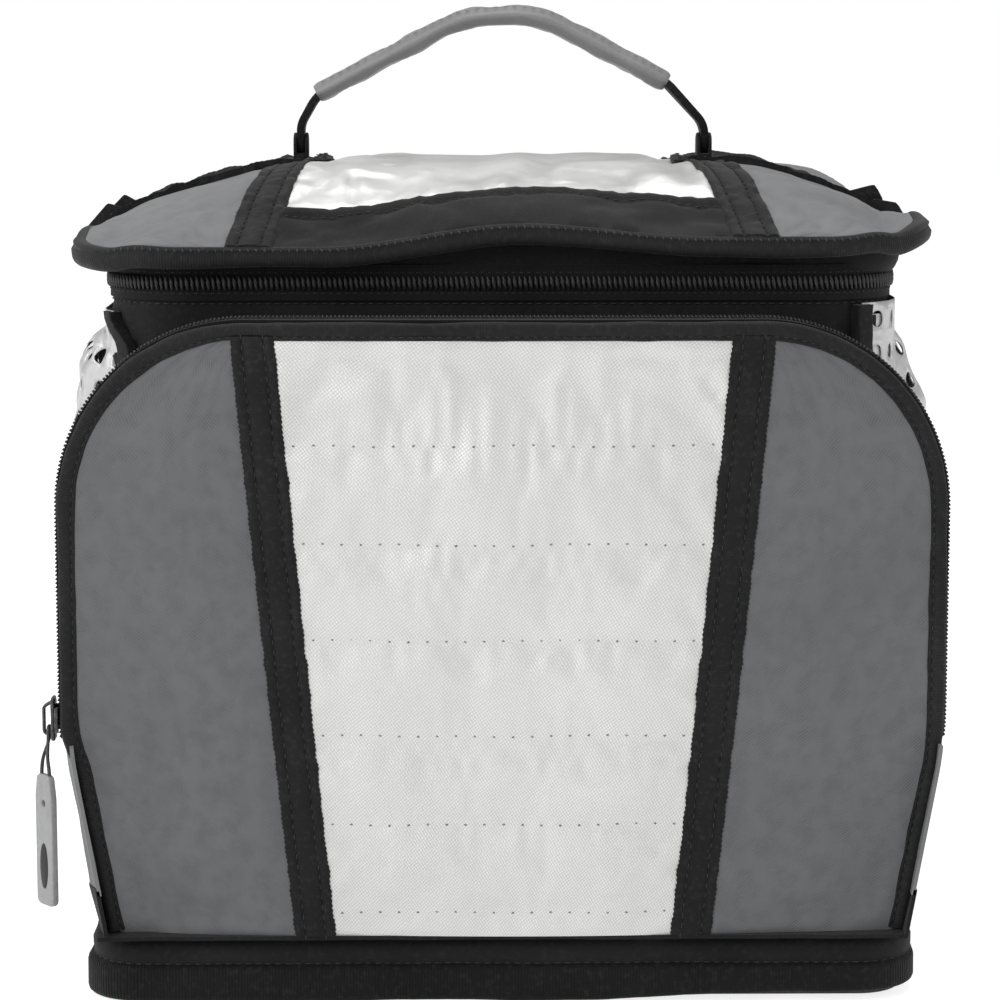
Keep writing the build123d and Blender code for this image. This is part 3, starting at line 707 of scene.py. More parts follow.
class PunchTree(RepeatTree):
    """Repeats one punched tile over a flat sheet."""

    name = "punched sheet"
    inputs = {"Sheet": "Geometry", "Tile": "Object", "Columns": "Int", "Rows": "Int", "Width": "Float",
              "Height": "Float", "Finish": "Material"}

    def repeated(self, recipe: Recipe, come: Any) -> Socket:
        """Builds the nodes between the inputs and the finish, and returns the realised sheet.

        Args:
            recipe: The tree's recipe.
            come: Its inputs.

        Returns:
            The realised sheet.
        """
        node = recipe.node
        grid = node("GeometryNodeMeshGrid", {"Vertices X": come["Columns"], "Vertices Y": come["Rows"],
                                             "Size X": come["Width"], "Size Y": come["Height"]})
        tile = node("GeometryNodeObjectInfo", {"Object": come["Tile"]})
        placed = node("GeometryNodeInstanceOnPoints", {"Points": grid.outputs["Mesh"],
                                                       "Instance": tile.outputs["Geometry"]})
        real = node("GeometryNodeRealizeInstances", {0: placed.outputs[0]})
        return node("GeometryNodeMergeByDistance", {0: real.outputs[0], "Distance": 1e-5}).outputs[0]

    @staticmethod
    def tile(pitch: float, radius: float) -> Piece:
        """A square tile with a round hole in its middle.

        Args:
            pitch: The tile's size.
            radius: The hole's radius.

        Returns:
            The tile.
        """
        run = np.arange(4) * pitch / 4
        side = np.column_stack([pitch / 2 - 0 * run, -pitch / 2 + run])
        quarter = np.array([(0, 1), (-1, 0)])
        square = np.concatenate([side @ np.linalg.matrix_power(quarter, turn) for turn in range(4)])
        circle = unit(square)
        rings = [square, square * 0.45 + circle * radius * 1.25 * 0.55, circle * radius]
        faces = [(r * 16 + k, r * 16 + (k + 1) % 16, r * 16 + 16 + (k + 1) % 16, r * 16 + 16 + k)
                 for r in range(2) for k in range(16)]
        return linked("tile", mesh_of("tile", raised(np.concatenate(rings), 0), [], faces))

    def sheet(self, name: str, size: tuple[float, float], pitch: float, radius: float, finish: Material) -> Piece:
        """A punched sheet filling a size, flat in X and Y from the origin.

        Args:
            name: The object's name.
            size: The sheet's width and height.
            pitch: About how far apart the holes are.
            radius: The holes' radius.
            finish: The material.

        Returns:
            The flat sheet.
        """
        columns, rows = (int(round(length / pitch)) for length in size)
        tile = self.tile(pitch, radius)
        values = {"Tile": tile, "Columns": columns, "Rows": rows, "Width": (columns - 1) * pitch * MM,
                  "Height": (rows - 1) * pitch * MM, "Finish": finish}
        made = self.run(linked(name + "_grid", bpy.data.meshes.new(name)), name, values, sharp=45)
        bpy.data.objects.remove(tile)
        count, full = np.array([columns * pitch, rows * pitch, 1.0]), np.array([*size, 1.0])
        shift_points(made, lambda spots: (spots / count + (0.5, 0.5, 0)) * full)
        return made


# ---------------------------------------------------------------- finishes
class Effects:
    """The shader groups that several finishes use."""

    def __init__(self) -> None:
        """Builds every group once."""
        self.groups = {
            "weave": self.build_weave(),
            "hatch": self.build_hatch(),
            "ribs": self.build_ribs(),
            "blotch": self.build_blotch(),
            "crinkle": self.build_crinkle(),
            "wear": self.build_wear(),
        }

    @staticmethod
    def start(name: str, **inputs: str) -> tuple[Recipe, Any]:
        """Starts a shader group with named inputs, and returns them too."""
        return Recipe.group("ShaderNodeTree", name, inputs)

    @staticmethod
    def build_weave() -> bpy.types.NodeTree:
        """Plain weave: rows of round-topped crossings, every other one raised, with painted shade in the gaps between
        threads.

        Returns:
            The group's tree.
        """
        recipe, come = Effects.start("thread weave", Place="Vector", Pitch="Float")
        turned = recipe.node("ShaderNodeMapping", {0: come["Place"], "Rotation": (0, 0, 0.62)})
        axes = recipe.node("ShaderNodeSeparateXYZ", {0: turned.outputs[0]}).outputs
        waves = [recipe.maths("SINE", recipe.times(recipe.ratio(axes[k], come["Pitch"]), math.pi)) for k in range(2)]
        cross = recipe.times(*waves)
        bump = recipe.maths("POWER", recipe.maths("ABSOLUTE", cross), 0.6)
        height = recipe.times(bump, recipe.spread(recipe.maths("SIGN", cross), -1, 1, 0.62, 1.0))
        # painted shade: the second result darkens where the threads sink between crossings
        return recipe.results(Height=height, Gap=recipe.spread(height, 0.0, 0.45, 1.0, 0.0))

    @staticmethod
    def build_hatch() -> bpy.types.NodeTree:
        """Fine slanting lines, broken here and there.

        Returns:
            The group's tree.
        """
        recipe, come = Effects.start("slant hatch", Place="Vector", Pitch="Float")
        axes = recipe.node("ShaderNodeSeparateXYZ", {0: come["Place"]}).outputs
        run = recipe.maths("SUBTRACT", axes[0], recipe.times(axes[1], 0.8))
        wave = recipe.maths("SINE", recipe.times(recipe.ratio(run, come["Pitch"]), 2 * math.pi))
        stretched = recipe.node("ShaderNodeMapping", {0: come["Place"], "Scale": (160.0, 160.0, 160.0)})
        patch = recipe.noise(stretched.outputs[0], 1.0, 2.0)
        line = recipe.times(recipe.spread(wave, -1, 1), recipe.spread(patch.outputs[0], 0.38, 0.66, 0.1, 1.0))
        return recipe.results(Height=recipe.maths("SUBTRACT", 1.0, line), Line=line)

    @staticmethod
    def build_ribs() -> bpy.types.NodeTree:
        """Straight ribs across the first UV measure, with painted shade in the grooves between them.

        Returns:
            The group's tree.
        """
        recipe, come = Effects.start("ribs", Place="Vector", Pitch="Float")
        axes = recipe.node("ShaderNodeSeparateXYZ", {0: come["Place"]}).outputs
        wave = recipe.maths("SINE", recipe.times(recipe.ratio(axes[0], come["Pitch"]), math.pi))
        height = recipe.maths("ABSOLUTE", wave)
        # painted shade: the second result darkens the grooves between the ribs
        return recipe.results(Height=height, Gap=recipe.spread(height, 0.0, 0.5, 1.0, 0.0))

    @staticmethod
    def build_blotch() -> bpy.types.NodeTree:
        """Slow and fine unevenness of tone over the surface.

        Returns:
            The group's tree.
        """
        recipe, come = Effects.start("blotch", Scale="Float")
        place = recipe.node("ShaderNodeTexCoord").outputs["Object"]
        slow = recipe.noise(place, come["Scale"], 4.0)
        fine = recipe.noise(place, recipe.times(come["Scale"], 22.0), 3.0)
        return recipe.results(Tone=recipe.spread(slow.outputs[0], 0.3, 0.7),
                              Dust=recipe.spread(fine.outputs[0], 0.52, 0.78))

    @staticmethod
    def build_crinkle() -> bpy.types.NodeTree:
        """Flat facets and sharp folds of crushed film, with a mask of the folds for painted shade and reflection.

        Returns:
            The group's tree.
        """
        recipe, come = Effects.start("crinkle", Scale="Float")
        place = recipe.node("ShaderNodeTexCoord").outputs["Object"]
        bend = recipe.noise(place, come["Scale"], 2.0)
        moved = recipe.node("ShaderNodeVectorMath", {0: bend.outputs[1], "Scale": 0.02}, operation="SCALE")
        shifted = recipe.node("ShaderNodeVectorMath", {0: place, 1: moved.outputs[0]}, operation="ADD").outputs[0]
        broad, small = (recipe.node("ShaderNodeTexVoronoi", {"Vector": shifted, "Scale": scale}, feature="F1")
                        for scale in (come["Scale"], recipe.times(come["Scale"], 2.7)))
        height = recipe.maths("MULTIPLY_ADD", small.outputs["Distance"], 0.35, broad.outputs["Distance"])
        # painted shade and reflection: the second result marks the folds, where films are painted darker
        return recipe.results(Height=height, Fold=recipe.spread(height, 0.75, 1.15))

    @staticmethod
    def build_wear() -> bpy.types.NodeTree:
        """Rubbed edges, broken up by fine noise.

        Returns:
            The group's tree.
        """
        recipe, come = Effects.start("edge wear", Scale="Float")
        place = recipe.node("ShaderNodeTexCoord").outputs["Object"]
        edge = recipe.node("ShaderNodeNewGeometry").outputs["Pointiness"]
        noise = recipe.noise(place, come["Scale"], 5.0).outputs[0]
        rub = recipe.times(recipe.spread(edge, 0.5, 0.58), recipe.spread(noise, 0.42, 0.6))
        return recipe.results(Rub=rub, Grain=noise)


class Weave(Enum):
    """How a cloth's threads cross."""

    PLAIN = "weave"
    HATCHED = "hatch"
    RIBBED = "ribs"


class Dye:
    """Starts a material and joins its shader, with the groups at hand."""

    def __init__(self, effects: Effects, name: str) -> None:
        """Makes an empty material.

        Args:
            effects: The shader groups.
            name: The material's name.
        """
        self.effects = effects
        self.material = bpy.data.materials.new(name)
        self.material.use_nodes = True
        self.recipe = Recipe(self.material.node_tree)
        self.shader = self.recipe.node("ShaderNodeBsdfPrincipled")
        self.recipe.node("ShaderNodeOutputMaterial", {"Surface": self.shader.outputs[0]})

    def effect(self, name: str, **inputs: Any) -> Any:
        """Places a shader group and returns its outputs."""
        return self.recipe.node("ShaderNodeGroup", inputs, node_tree=self.effects.groups[name]).outputs

    def feed(self, **inputs: Any) -> None:
        """Sets or joins the shader's own sockets, spaces written as underscores."""
        for key, value in inputs.items():
            self.recipe.join(value, self.shader.inputs[key.replace("_", " ")])

    def uv(self) -> Socket:
        """The piece's own UV measures, in metres."""
        return self.recipe.node("ShaderNodeUVMap", uv_map="UVMap").outputs[0]

    def bump(self, height: Any, depth: float, under: Any = None) -> Socket:
        """Adds a bump of a depth in millimetres and returns its normal."""
        inputs = {"Height": height, "Distance": depth * MM, "Strength": 1.0}
        return self.recipe.node("ShaderNodeBump", inputs if under is None else {**inputs, "Normal": under}).outputs[0]


@dataclass(frozen=True)
class ClothFinish:
    """A woven cloth's look."""

    name: str
    colour: tuple[float, float, float]
    # gap: the colour of the painted shade between threads and ribs; on hatched cloth, the colour of its slanting lines
    gap: tuple[float, float, float]
    weave: Weave
    pitch: float
    depth: float
    roughness: float
    sheen: float = 0.0
    metal: float = 0.0
    uneven: float = 0.3
    lint: float = 0.0
    crease: float = 0.0
    gloss: float = 0.22

    def build(self, effects: Effects) -> Material:
        """Makes the material.

        Args:
            effects: The shader groups.

        Returns:
            The material.
        """
        dye = Dye(effects, self.name)
        recipe = dye.recipe
        threads = dye.effect(self.weave.value, Place=dye.uv(), Pitch=self.pitch * MM)
        blotch = dye.effect("blotch", Scale=26.0)
        worn = tuple(channel * (1 - self.uneven) for channel in self.colour)
        # painted shade: plain and ribbed cloth blends towards the gap colour in its thread gaps; hatched cloth takes it
        # on its slanting lines
        base = recipe.blend(threads[1], recipe.blend(blotch["Tone"], worn, self.colour), self.gap)
        if self.lint:
            base = recipe.blend(recipe.times(blotch["Dust"], self.lint), base, (0.3, 0.3, 0.3))
        normal = dye.bump(threads["Height"], self.depth)
        if self.crease:
            normal = dye.bump(dye.effect("crinkle", Scale=36.0)["Height"], self.crease, normal)
        rough = recipe.spread(blotch["Tone"], 0, 1, self.roughness + 0.06, self.roughness - 0.06)
        dye.feed(Base_Color=base, Roughness=rough, Normal=normal, Metallic=self.metal)
        dye.feed(Sheen_Weight=self.sheen, Sheen_Roughness=0.4, Specular_IOR_Level=self.gloss)
        return dye.material


@dataclass(frozen=True)
class FilmFinish:
    """A metallised film's look."""

    name: str
    colour: tuple[float, float, float]
    # fold: the colour of the painted shade and reflection in the film's folds
    fold: tuple[float, float, float]
    roughness: float
    metal: float
    scale: float
    depth: float

    def build(self, effects: Effects) -> Material:
        """Makes the material.

        Args:
            effects: The shader groups.

        Returns:
            The material.
        """
        dye = Dye(effects, self.name)
        crinkle = dye.effect("crinkle", Scale=self.scale)
        blotch = dye.effect("blotch", Scale=40.0)
        # painted shade and reflection: the film turns towards the fold colour along its folds
        base = dye.recipe.blend(dye.recipe.times(crinkle["Fold"], 0.6), self.colour, self.fold)
        rough = dye.recipe.spread(blotch["Tone"], 0, 1, self.roughness, self.roughness + 0.14)
        normal = dye.bump(crinkle["Height"], self.depth)
        dye.feed(Base_Color=base, Roughness=rough, Normal=normal, Metallic=self.metal)
        return dye.material


@dataclass(frozen=True)
class SolidFinish:
    """A moulded, painted or foamed part's look."""

    name: str
    colour: tuple[float, float, float]
    rubbed: tuple[float, float, float]
    roughness: float
    grain: float
    depth: float
    metal: float = 0.0
    rubbed_metal: float = 0.0
    coat: float = 0.0
    subsurface: float = 0.0

    def build(self, effects: Effects) -> Material:
        """Makes the material.

        Args:
            effects: The shader groups.

        Returns:
            The material.
        """
        dye = Dye(effects, self.name)
        recipe = dye.recipe
        wear = dye.effect("wear", Scale=self.grain)
        soft = tuple(channel * 0.82 for channel in self.colour)
        base = recipe.blend(dye.effect("blotch", Scale=60.0)["Tone"], soft, self.colour)
        base = recipe.blend(wear["Rub"], base, self.rubbed)
        rough = recipe.spread(wear["Grain"], 0.3, 0.7, self.roughness - 0.08, self.roughness + 0.1)
        dye.feed(Base_Color=base, Roughness=rough, Normal=dye.bump(wear["Grain"], self.depth), Coat_Weight=self.coat)
        metal = self.metal
        if self.rubbed_metal != metal:
            metal = recipe.spread(wear["Rub"], 0, 1, metal, self.rubbed_metal)
        dye.feed(Metallic=metal)
        if self.subsurface:
            dye.feed(Subsurface_Weight=self.subsurface, Subsurface_Scale=0.002)
        return dye.material


FINISHES = (
    # each cloth's second colour is painted shade between its threads and ribs; on the hatched grey cloths it colours
    # their slanting lines
    ClothFinish("black fabric", (0.0095, 0.0095, 0.010), (0.004, 0.004, 0.0045), Weave.PLAIN, 0.62, 0.10, 0.74, 0.1,
                lint=0.03),
    ClothFinish("hem cloth", (0.0062, 0.0062, 0.0065), (0.002, 0.002, 0.0023), Weave.RIBBED, 1.0, 0.2, 0.8, 0.06,
                lint=0.05),
    ClothFinish("binding tape", (0.0115, 0.0115, 0.012), (0.005, 0.005, 0.0055), Weave.RIBBED, 0.9, 0.10, 0.66, 0.12,
                lint=0.04),
    ClothFinish("grey fabric", (0.155, 0.157, 0.162), (0.122, 0.124, 0.13), Weave.HATCHED, 1.15, 0.12, 0.68, 0.05,
                uneven=0.1),
    # a lighter copy of the grey fabric: painted light, for the lid's sides and the pocket's lower walls
    ClothFinish("lid grey fabric", (0.205, 0.207, 0.212), (0.165, 0.167, 0.172), Weave.HATCHED, 1.15, 0.1, 0.62, 0.05,
                uneven=0.1),
    ClothFinish("silver fabric", (0.78, 0.78, 0.77), (0.50, 0.50, 0.49), Weave.PLAIN, 0.95, 0.09, 0.42, 0.1, 0.25,
                uneven=0.07, crease=0.5, gloss=0.5),
    ClothFinish("webbing", (0.010, 0.010, 0.0105), (0.0065, 0.0065, 0.007), Weave.RIBBED, 0.8, 0.06, 0.72, 0.1,
                lint=0.05),
    ClothFinish("zip tape", (0.007, 0.007, 0.0075), (0.0035, 0.0035, 0.004), Weave.RIBBED, 0.7, 0.08, 0.75, 0.08),
    ClothFinish("lining cloth", (0.03, 0.03, 0.032), (0.014, 0.014, 0.015), Weave.PLAIN, 0.5, 0.06, 0.5, 0.2),
    # each film's second colour is painted shade and reflection in its folds
    FilmFinish("lid foil", (0.86, 0.86, 0.85), (0.5, 0.5, 0.49), 0.3, 0.55, 34.0, 1.3),
    FilmFinish("silver film", (0.62, 0.62, 0.625), (0.3, 0.3, 0.305), 0.32, 0.35, 60.0, 1.0),
    FilmFinish("liner foil", (0.76, 0.76, 0.77), (0.5, 0.5, 0.52), 0.28, 0.8, 58.0, 1.0),
    SolidFinish("coil nylon", (0.011, 0.011, 0.0115), (0.026, 0.026, 0.028), 0.46, 900.0, 0.02),
    SolidFinish("slider paint", (0.012, 0.012, 0.0125), (0.09, 0.088, 0.085), 0.34, 520.0, 0.02, rubbed_metal=0.6,
                coat=0.15),
    SolidFinish("pull rubber", (0.34, 0.34, 0.345), (0.42, 0.42, 0.42), 0.5, 700.0, 0.03, subsurface=0.25),
    SolidFinish("bare plate", (0.012, 0.012, 0.0125), (0.03, 0.03, 0.03), 0.62, 600.0, 0.02),
    SolidFinish("grip vinyl", (0.235, 0.235, 0.24), (0.26, 0.26, 0.265), 0.48, 1300.0, 0.08),
    SolidFinish("thread", (0.012, 0.012, 0.0125), (0.03, 0.03, 0.03), 0.6, 1500.0, 0.02),
    SolidFinish("quilt thread", (0.16, 0.16, 0.16), (0.3, 0.3, 0.3), 0.6, 1500.0, 0.02),
    SolidFinish("foam", (0.62, 0.62, 0.6), (0.7, 0.7, 0.68), 0.85, 850.0, 0.25),
    SolidFinish("base board", (0.05, 0.048, 0.045), (0.12, 0.11, 0.1), 0.7, 300.0, 0.08),
)


# ---------------------------------------------------------------- cloth
@dataclass
class Cloth:
    """A sewn sheet that is left to settle between the places where it is held."""

    name: str
    points: Array
    held: Array
    spare: float
    push: float
    cap: float

    def make(self) -> Piece:
        """Builds the sheet with its cloth modifier.

        Returns:
            The sheet.
        """
        rows, columns = self.points.shape[:2]
        numbers = np.arange(rows * columns).reshape(rows, columns)
        quads = np.stack([numbers[:-1, :-1], numbers[1:, :-1], numbers[1:, 1:], numbers[:-1, 1:]], -1).reshape(-1, 4)
        made = linked(self.name, mesh_of(self.name, self.points.reshape(-1, 3), [], quads.tolist()))
        group = made.vertex_groups.new(name="held")
        shares = self.held.round(1).ravel()
        for share in np.unique(shares[shares > 0]):
            group.add(np.flatnonzero(shares == share).tolist(), float(share), "REPLACE")
        modifier = made.modifiers.new("settle", "CLOTH")
        settings = modifier.settings
        settings.quality = 4
        settings.mass = 0.25
        settings.tension_stiffness = 18
        settings.compression_stiffness = 18
        settings.shear_stiffness = 6
        settings.bending_stiffness = 0.6
        settings.vertex_group_mass = "held"
        settings.shrink_min = -self.spare
        settings.use_pressure = True
        settings.uniform_pressure_force = self.push
        settings.effector_weights.gravity = 0
        modifier.collision_settings.use_collision = False
        return made


def settle(sheets: Sequence[Cloth], frames: int = 18) -> dict[str, Array]:
    """Lets every sheet settle and says how far each of its points moved.

    Args:
        sheets: The sheets.
        frames: How many frames they are given.

    Returns:
        For each sheet's name a grid of moves in millimetres, none longer than its cap.
    """
    scene = bpy.context.scene
    made = {sheet.name: sheet.make() for sheet in sheets}
    for frame in range(1, frames + 1):
        scene.frame_set(frame)
    graph = bpy.context.evaluated_depsgraph_get()
    moves = {}
    for sheet in sheets:
        settled = made[sheet.name].evaluated_get(graph).to_mesh()
        spots = np.empty(len(settled.vertices) * 3, np.float32)
        settled.vertices.foreach_get("co", spots)
        move = spots.reshape(sheet.points.shape) / MM - sheet.points
        size = np.maximum(np.linalg.norm(move, axis=-1, keepdims=True), 1e-6)
        moves[sheet.name] = move * np.tanh(size / sheet.cap) * sheet.cap / size
        log.info("%s settled by up to %.1f mm", sheet.name, float(size.max()))
        bpy.data.objects.remove(made[sheet.name])
    scene.frame_set(1)
    return moves


def read_grid(values: Array, low: Sequence[float], high: Sequence[float], u: Array, v: Array) -> Array:
    """Reads a grid of vectors between its points.

    Args:
        values: The grid, rows by columns by three.
        low: The two measures of its first point.
        high: The two measures of its last point.
        u: The first measure wanted.
        v: The second measure wanted.

    Returns:
        The vectors there.
    """
    rows, columns = values.shape[:2]
    a = np.clip((u - low[0]) / (high[0] - low[0]) * (rows - 1), 0, rows - 1.001)
    b = np.clip((v - low[1]) / (high[1] - low[1]) * (columns - 1), 0, columns - 1.001)
    i, j = a.astype(int), b.astype(int)
    s, t = (a - i)[..., None], (b - j)[..., None]
    near = values[i, j] * (1 - s) + values[i + 1, j] * s
    far = values[i, j + 1] * (1 - s) + values[i + 1, j + 1] * s
    return near * (1 - t) + far * t


# ---------------------------------------------------------------- what every sub-assembly shares
class Kit:
    """The finishes, the repeating trees and the settled cloth."""

    def __init__(self) -> None:
        """Builds the shader groups, the materials and the trees."""
        effects = Effects()
        self.finishes = {finish.name: finish.build(effects) for finish in FINISHES}
        self.rows = RowTree()
        self.punch = PunchTree()
        self.moves: dict[str, Array] = {}


@dataclass
class Part:
    """A sub-assembly of the bag."""

    kit: Kit

    def place(self, piece: Piece, body: str, slot: str, *nodes: str) -> Piece:
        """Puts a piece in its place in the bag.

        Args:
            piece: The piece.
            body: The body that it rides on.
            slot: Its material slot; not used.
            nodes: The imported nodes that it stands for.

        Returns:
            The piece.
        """
        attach(piece, body)
        if nodes:
            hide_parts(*nodes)
        log.info("%s rides on %s", piece.name, body)
        return piece

    def put(self, shell: Shell, name: str, finish: str, body: str, slot: str, *nodes: str, sharp: float = 45) -> Piece:
        """Makes a piece of a shell and puts it in its place.

        Args:
            shell: The gathered faces.
            name: The piece's name.
            finish: Its finish.
            body: The body that it rides on.
            slot: Its material slot.
            nodes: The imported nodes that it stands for.
            sharp: The angle in degrees past which an edge is drawn sharp.

        Returns:
            The piece.
        """
        return self.place(shell.piece(name, self.kit.finishes[finish], sharp), body, slot, *nodes)

    def sew(self, name: str, lines: Lines, pitch: float, size: Sequence[float], body: str, slot: str = "black_fabric",
            finish: str = "thread", **turn: Any) -> None:
        """Sews stitches along lines and puts them in their place.

        Args:
            name: The piece's name.
            lines: Each line's points and its outward directions.
            pitch: The spacing from stitch to stitch.
            size: A stitch's size along the line, across it and outward.
            body: The body that they ride on.
            slot: Their material slot.
            finish: Their finish.
            turn: The row's slant, its unevenness and whether it is closed.
        """
        self.place(self.kit.rows.along(name, lines, pitch, size, self.kit.finishes[finish], **turn), body, slot)

    def plate(self, name: str, outline: Array, at: Callable[[Array, float], Array], faces: tuple[float, float],
              bevel: float, finish: str) -> Piece:
        """Makes a flat slab of any outline with softened edges.

        Args:
            name: The piece's name.
            outline: The slab's outline in two dimensions.
            at: Turns outline points and a depth into places.
            faces: The depths of its two faces.
            bevel: How far the edges are cut back.
            finish: Its finish.

        Returns:
            The slab.
        """
        along = tangents(outline, closed=True)
        area = np.sum(outline[:, 0] * np.roll(outline[:, 1], -1) - np.roll(outline[:, 0], -1) * outline[:, 1])
        inward = np.stack([-along[:, 1], along[:, 0]], axis=1) * (1 if area > 0 else -1)
        low, high = faces
        levels = [(bevel, low), (0.3 * bevel, low + 0.3 * bevel), (0, low + bevel)]
        levels += [(0, high - bevel), (0.3 * bevel, high - 0.3 * bevel), (bevel, high)]
        shell = Shell()
        numbers = shell.add_points(np.stack([at(outline + inward * inset, depth) for inset, depth in levels]))
        reach = np.append(measured(outline), 0)
        shell.add_faces(numbers.T, reach, np.arange(len(levels), dtype=float), wrap_u=True)
        shell.add_ends(numbers, outline)
        return shell.piece(name, self.kit.finishes[finish], sharp=60)


# ---------------------------------------------------------------- base and body
@dataclass
class Base(Part):
    """The stiff bottom: panel, ribbed hem and the band that leads up to the body."""

    width: float = 270.0
    depth: float = 218.0
    radius: float = 20.0
    hem_t: float = 5.0
    hem_h: float = 13.0
    hem_r: float = 2.4
    seam_z: float = 2.6
    band_t: float = 0.9
    band: tuple[tuple[float, float], ...] = (
        (2.2, 11.6), (1.4, 13.4), (1.1, 16.0), (1.3, 18.6), (2.4, 20.9), (4.6, 22.1), (8.5, 22.5))

    def build(self) -> None:
        """Makes the base's pieces."""
        self.build_hem()
        self.build_band()
        inner = self.hem_t - 0.4
        outline, _ = box_loop(self.width - 2 * inner, self.depth - 2 * inner, self.radius - inner, 0, 4)
        panel = self.plate("bottom_panel", outline, lambda flat, z: raised(flat, z + self.lifted(flat)), (0.2, 1.7),
                           0.4, "black fabric")
        self.place(panel, "carrier", "black_fabric", "base_panel")

    @staticmethod
    def lifted(spots: Array) -> Array:
        """How far the right front corner of the bottom is bent up off the ground."""
        return 2.8 * smooth_step(spots[:, 0], 0, 130) * smooth_step(-spots[:, 1], 0, 90)

    def build_hem(self) -> None:
        """The rolled, ribbed edge round the bottom."""
        line, out = box_loop(self.width - self.hem_t, self.depth - self.hem_t, self.radius - self.hem_t / 2, 0, 0.75)
        path = raised(line, self.hem_h / 2 + 0.15)
        ring = round_section(self.hem_t, self.hem_h + 0.3, self.hem_r)
        section = np.repeat(ring[None], len(path), axis=0)
        outer = ring[:, 0] > 0
        section[..., 0] += outer * (0.35 * ruffle(path, 34, 3))[:, None]
        dent = 0.4 + 0.5 * (1 + ruffle(path, 90, 4)) / 2 + self.lifted(path)
        section[..., 1] += np.clip(0.5 - ring[:, 1] / self.hem_h, 0, 1) * dent[:, None]
        section[..., 0] -= 0.5 * np.exp(-((ring[:, 1] - self.seam_z) / 1.1) ** 2) * outer
        hem = Shell().sweep(path, raised(out, 0), UP, section, closed=True)
        self.put(hem, "ribbed_hem", "hem cloth", "carrier", "black_fabric", "base_hem")

    def build_band(self) -> None:
        """The fabric band that curls in over the hem to the body."""
        line, out = box_loop(self.width, self.depth, self.radius, 0, 3)
        side = raised(out, 0)
        sways = (0.35 * ruffle(line, 60, 20 + k, 2) for k in range(len(self.band)))
        front = np.stack([raised(line, height) + side * (sway - inset)[:, None]
                          for sway, (inset, height) in zip(sways, self.band)], 1)
        back = front - side[:, None] * self.band_t - UP * self.band_t
        v = np.array([0, 2, 4.6, 7.2, 9.8, 12.3, 16.3])
        band = Shell().sheet(front, back, np.arange(len(line) + 1) * 3.0, v, wrap=True)
        self.put(band, "base_fabric_band", "black fabric", "carrier", "black_fabric", "base_band")
        self.sew("band_stitches", [(front[:, 1] + side * 0.15, side)], 3.2, (2.5, 0.5, 0.4), "carrier", closed=True)


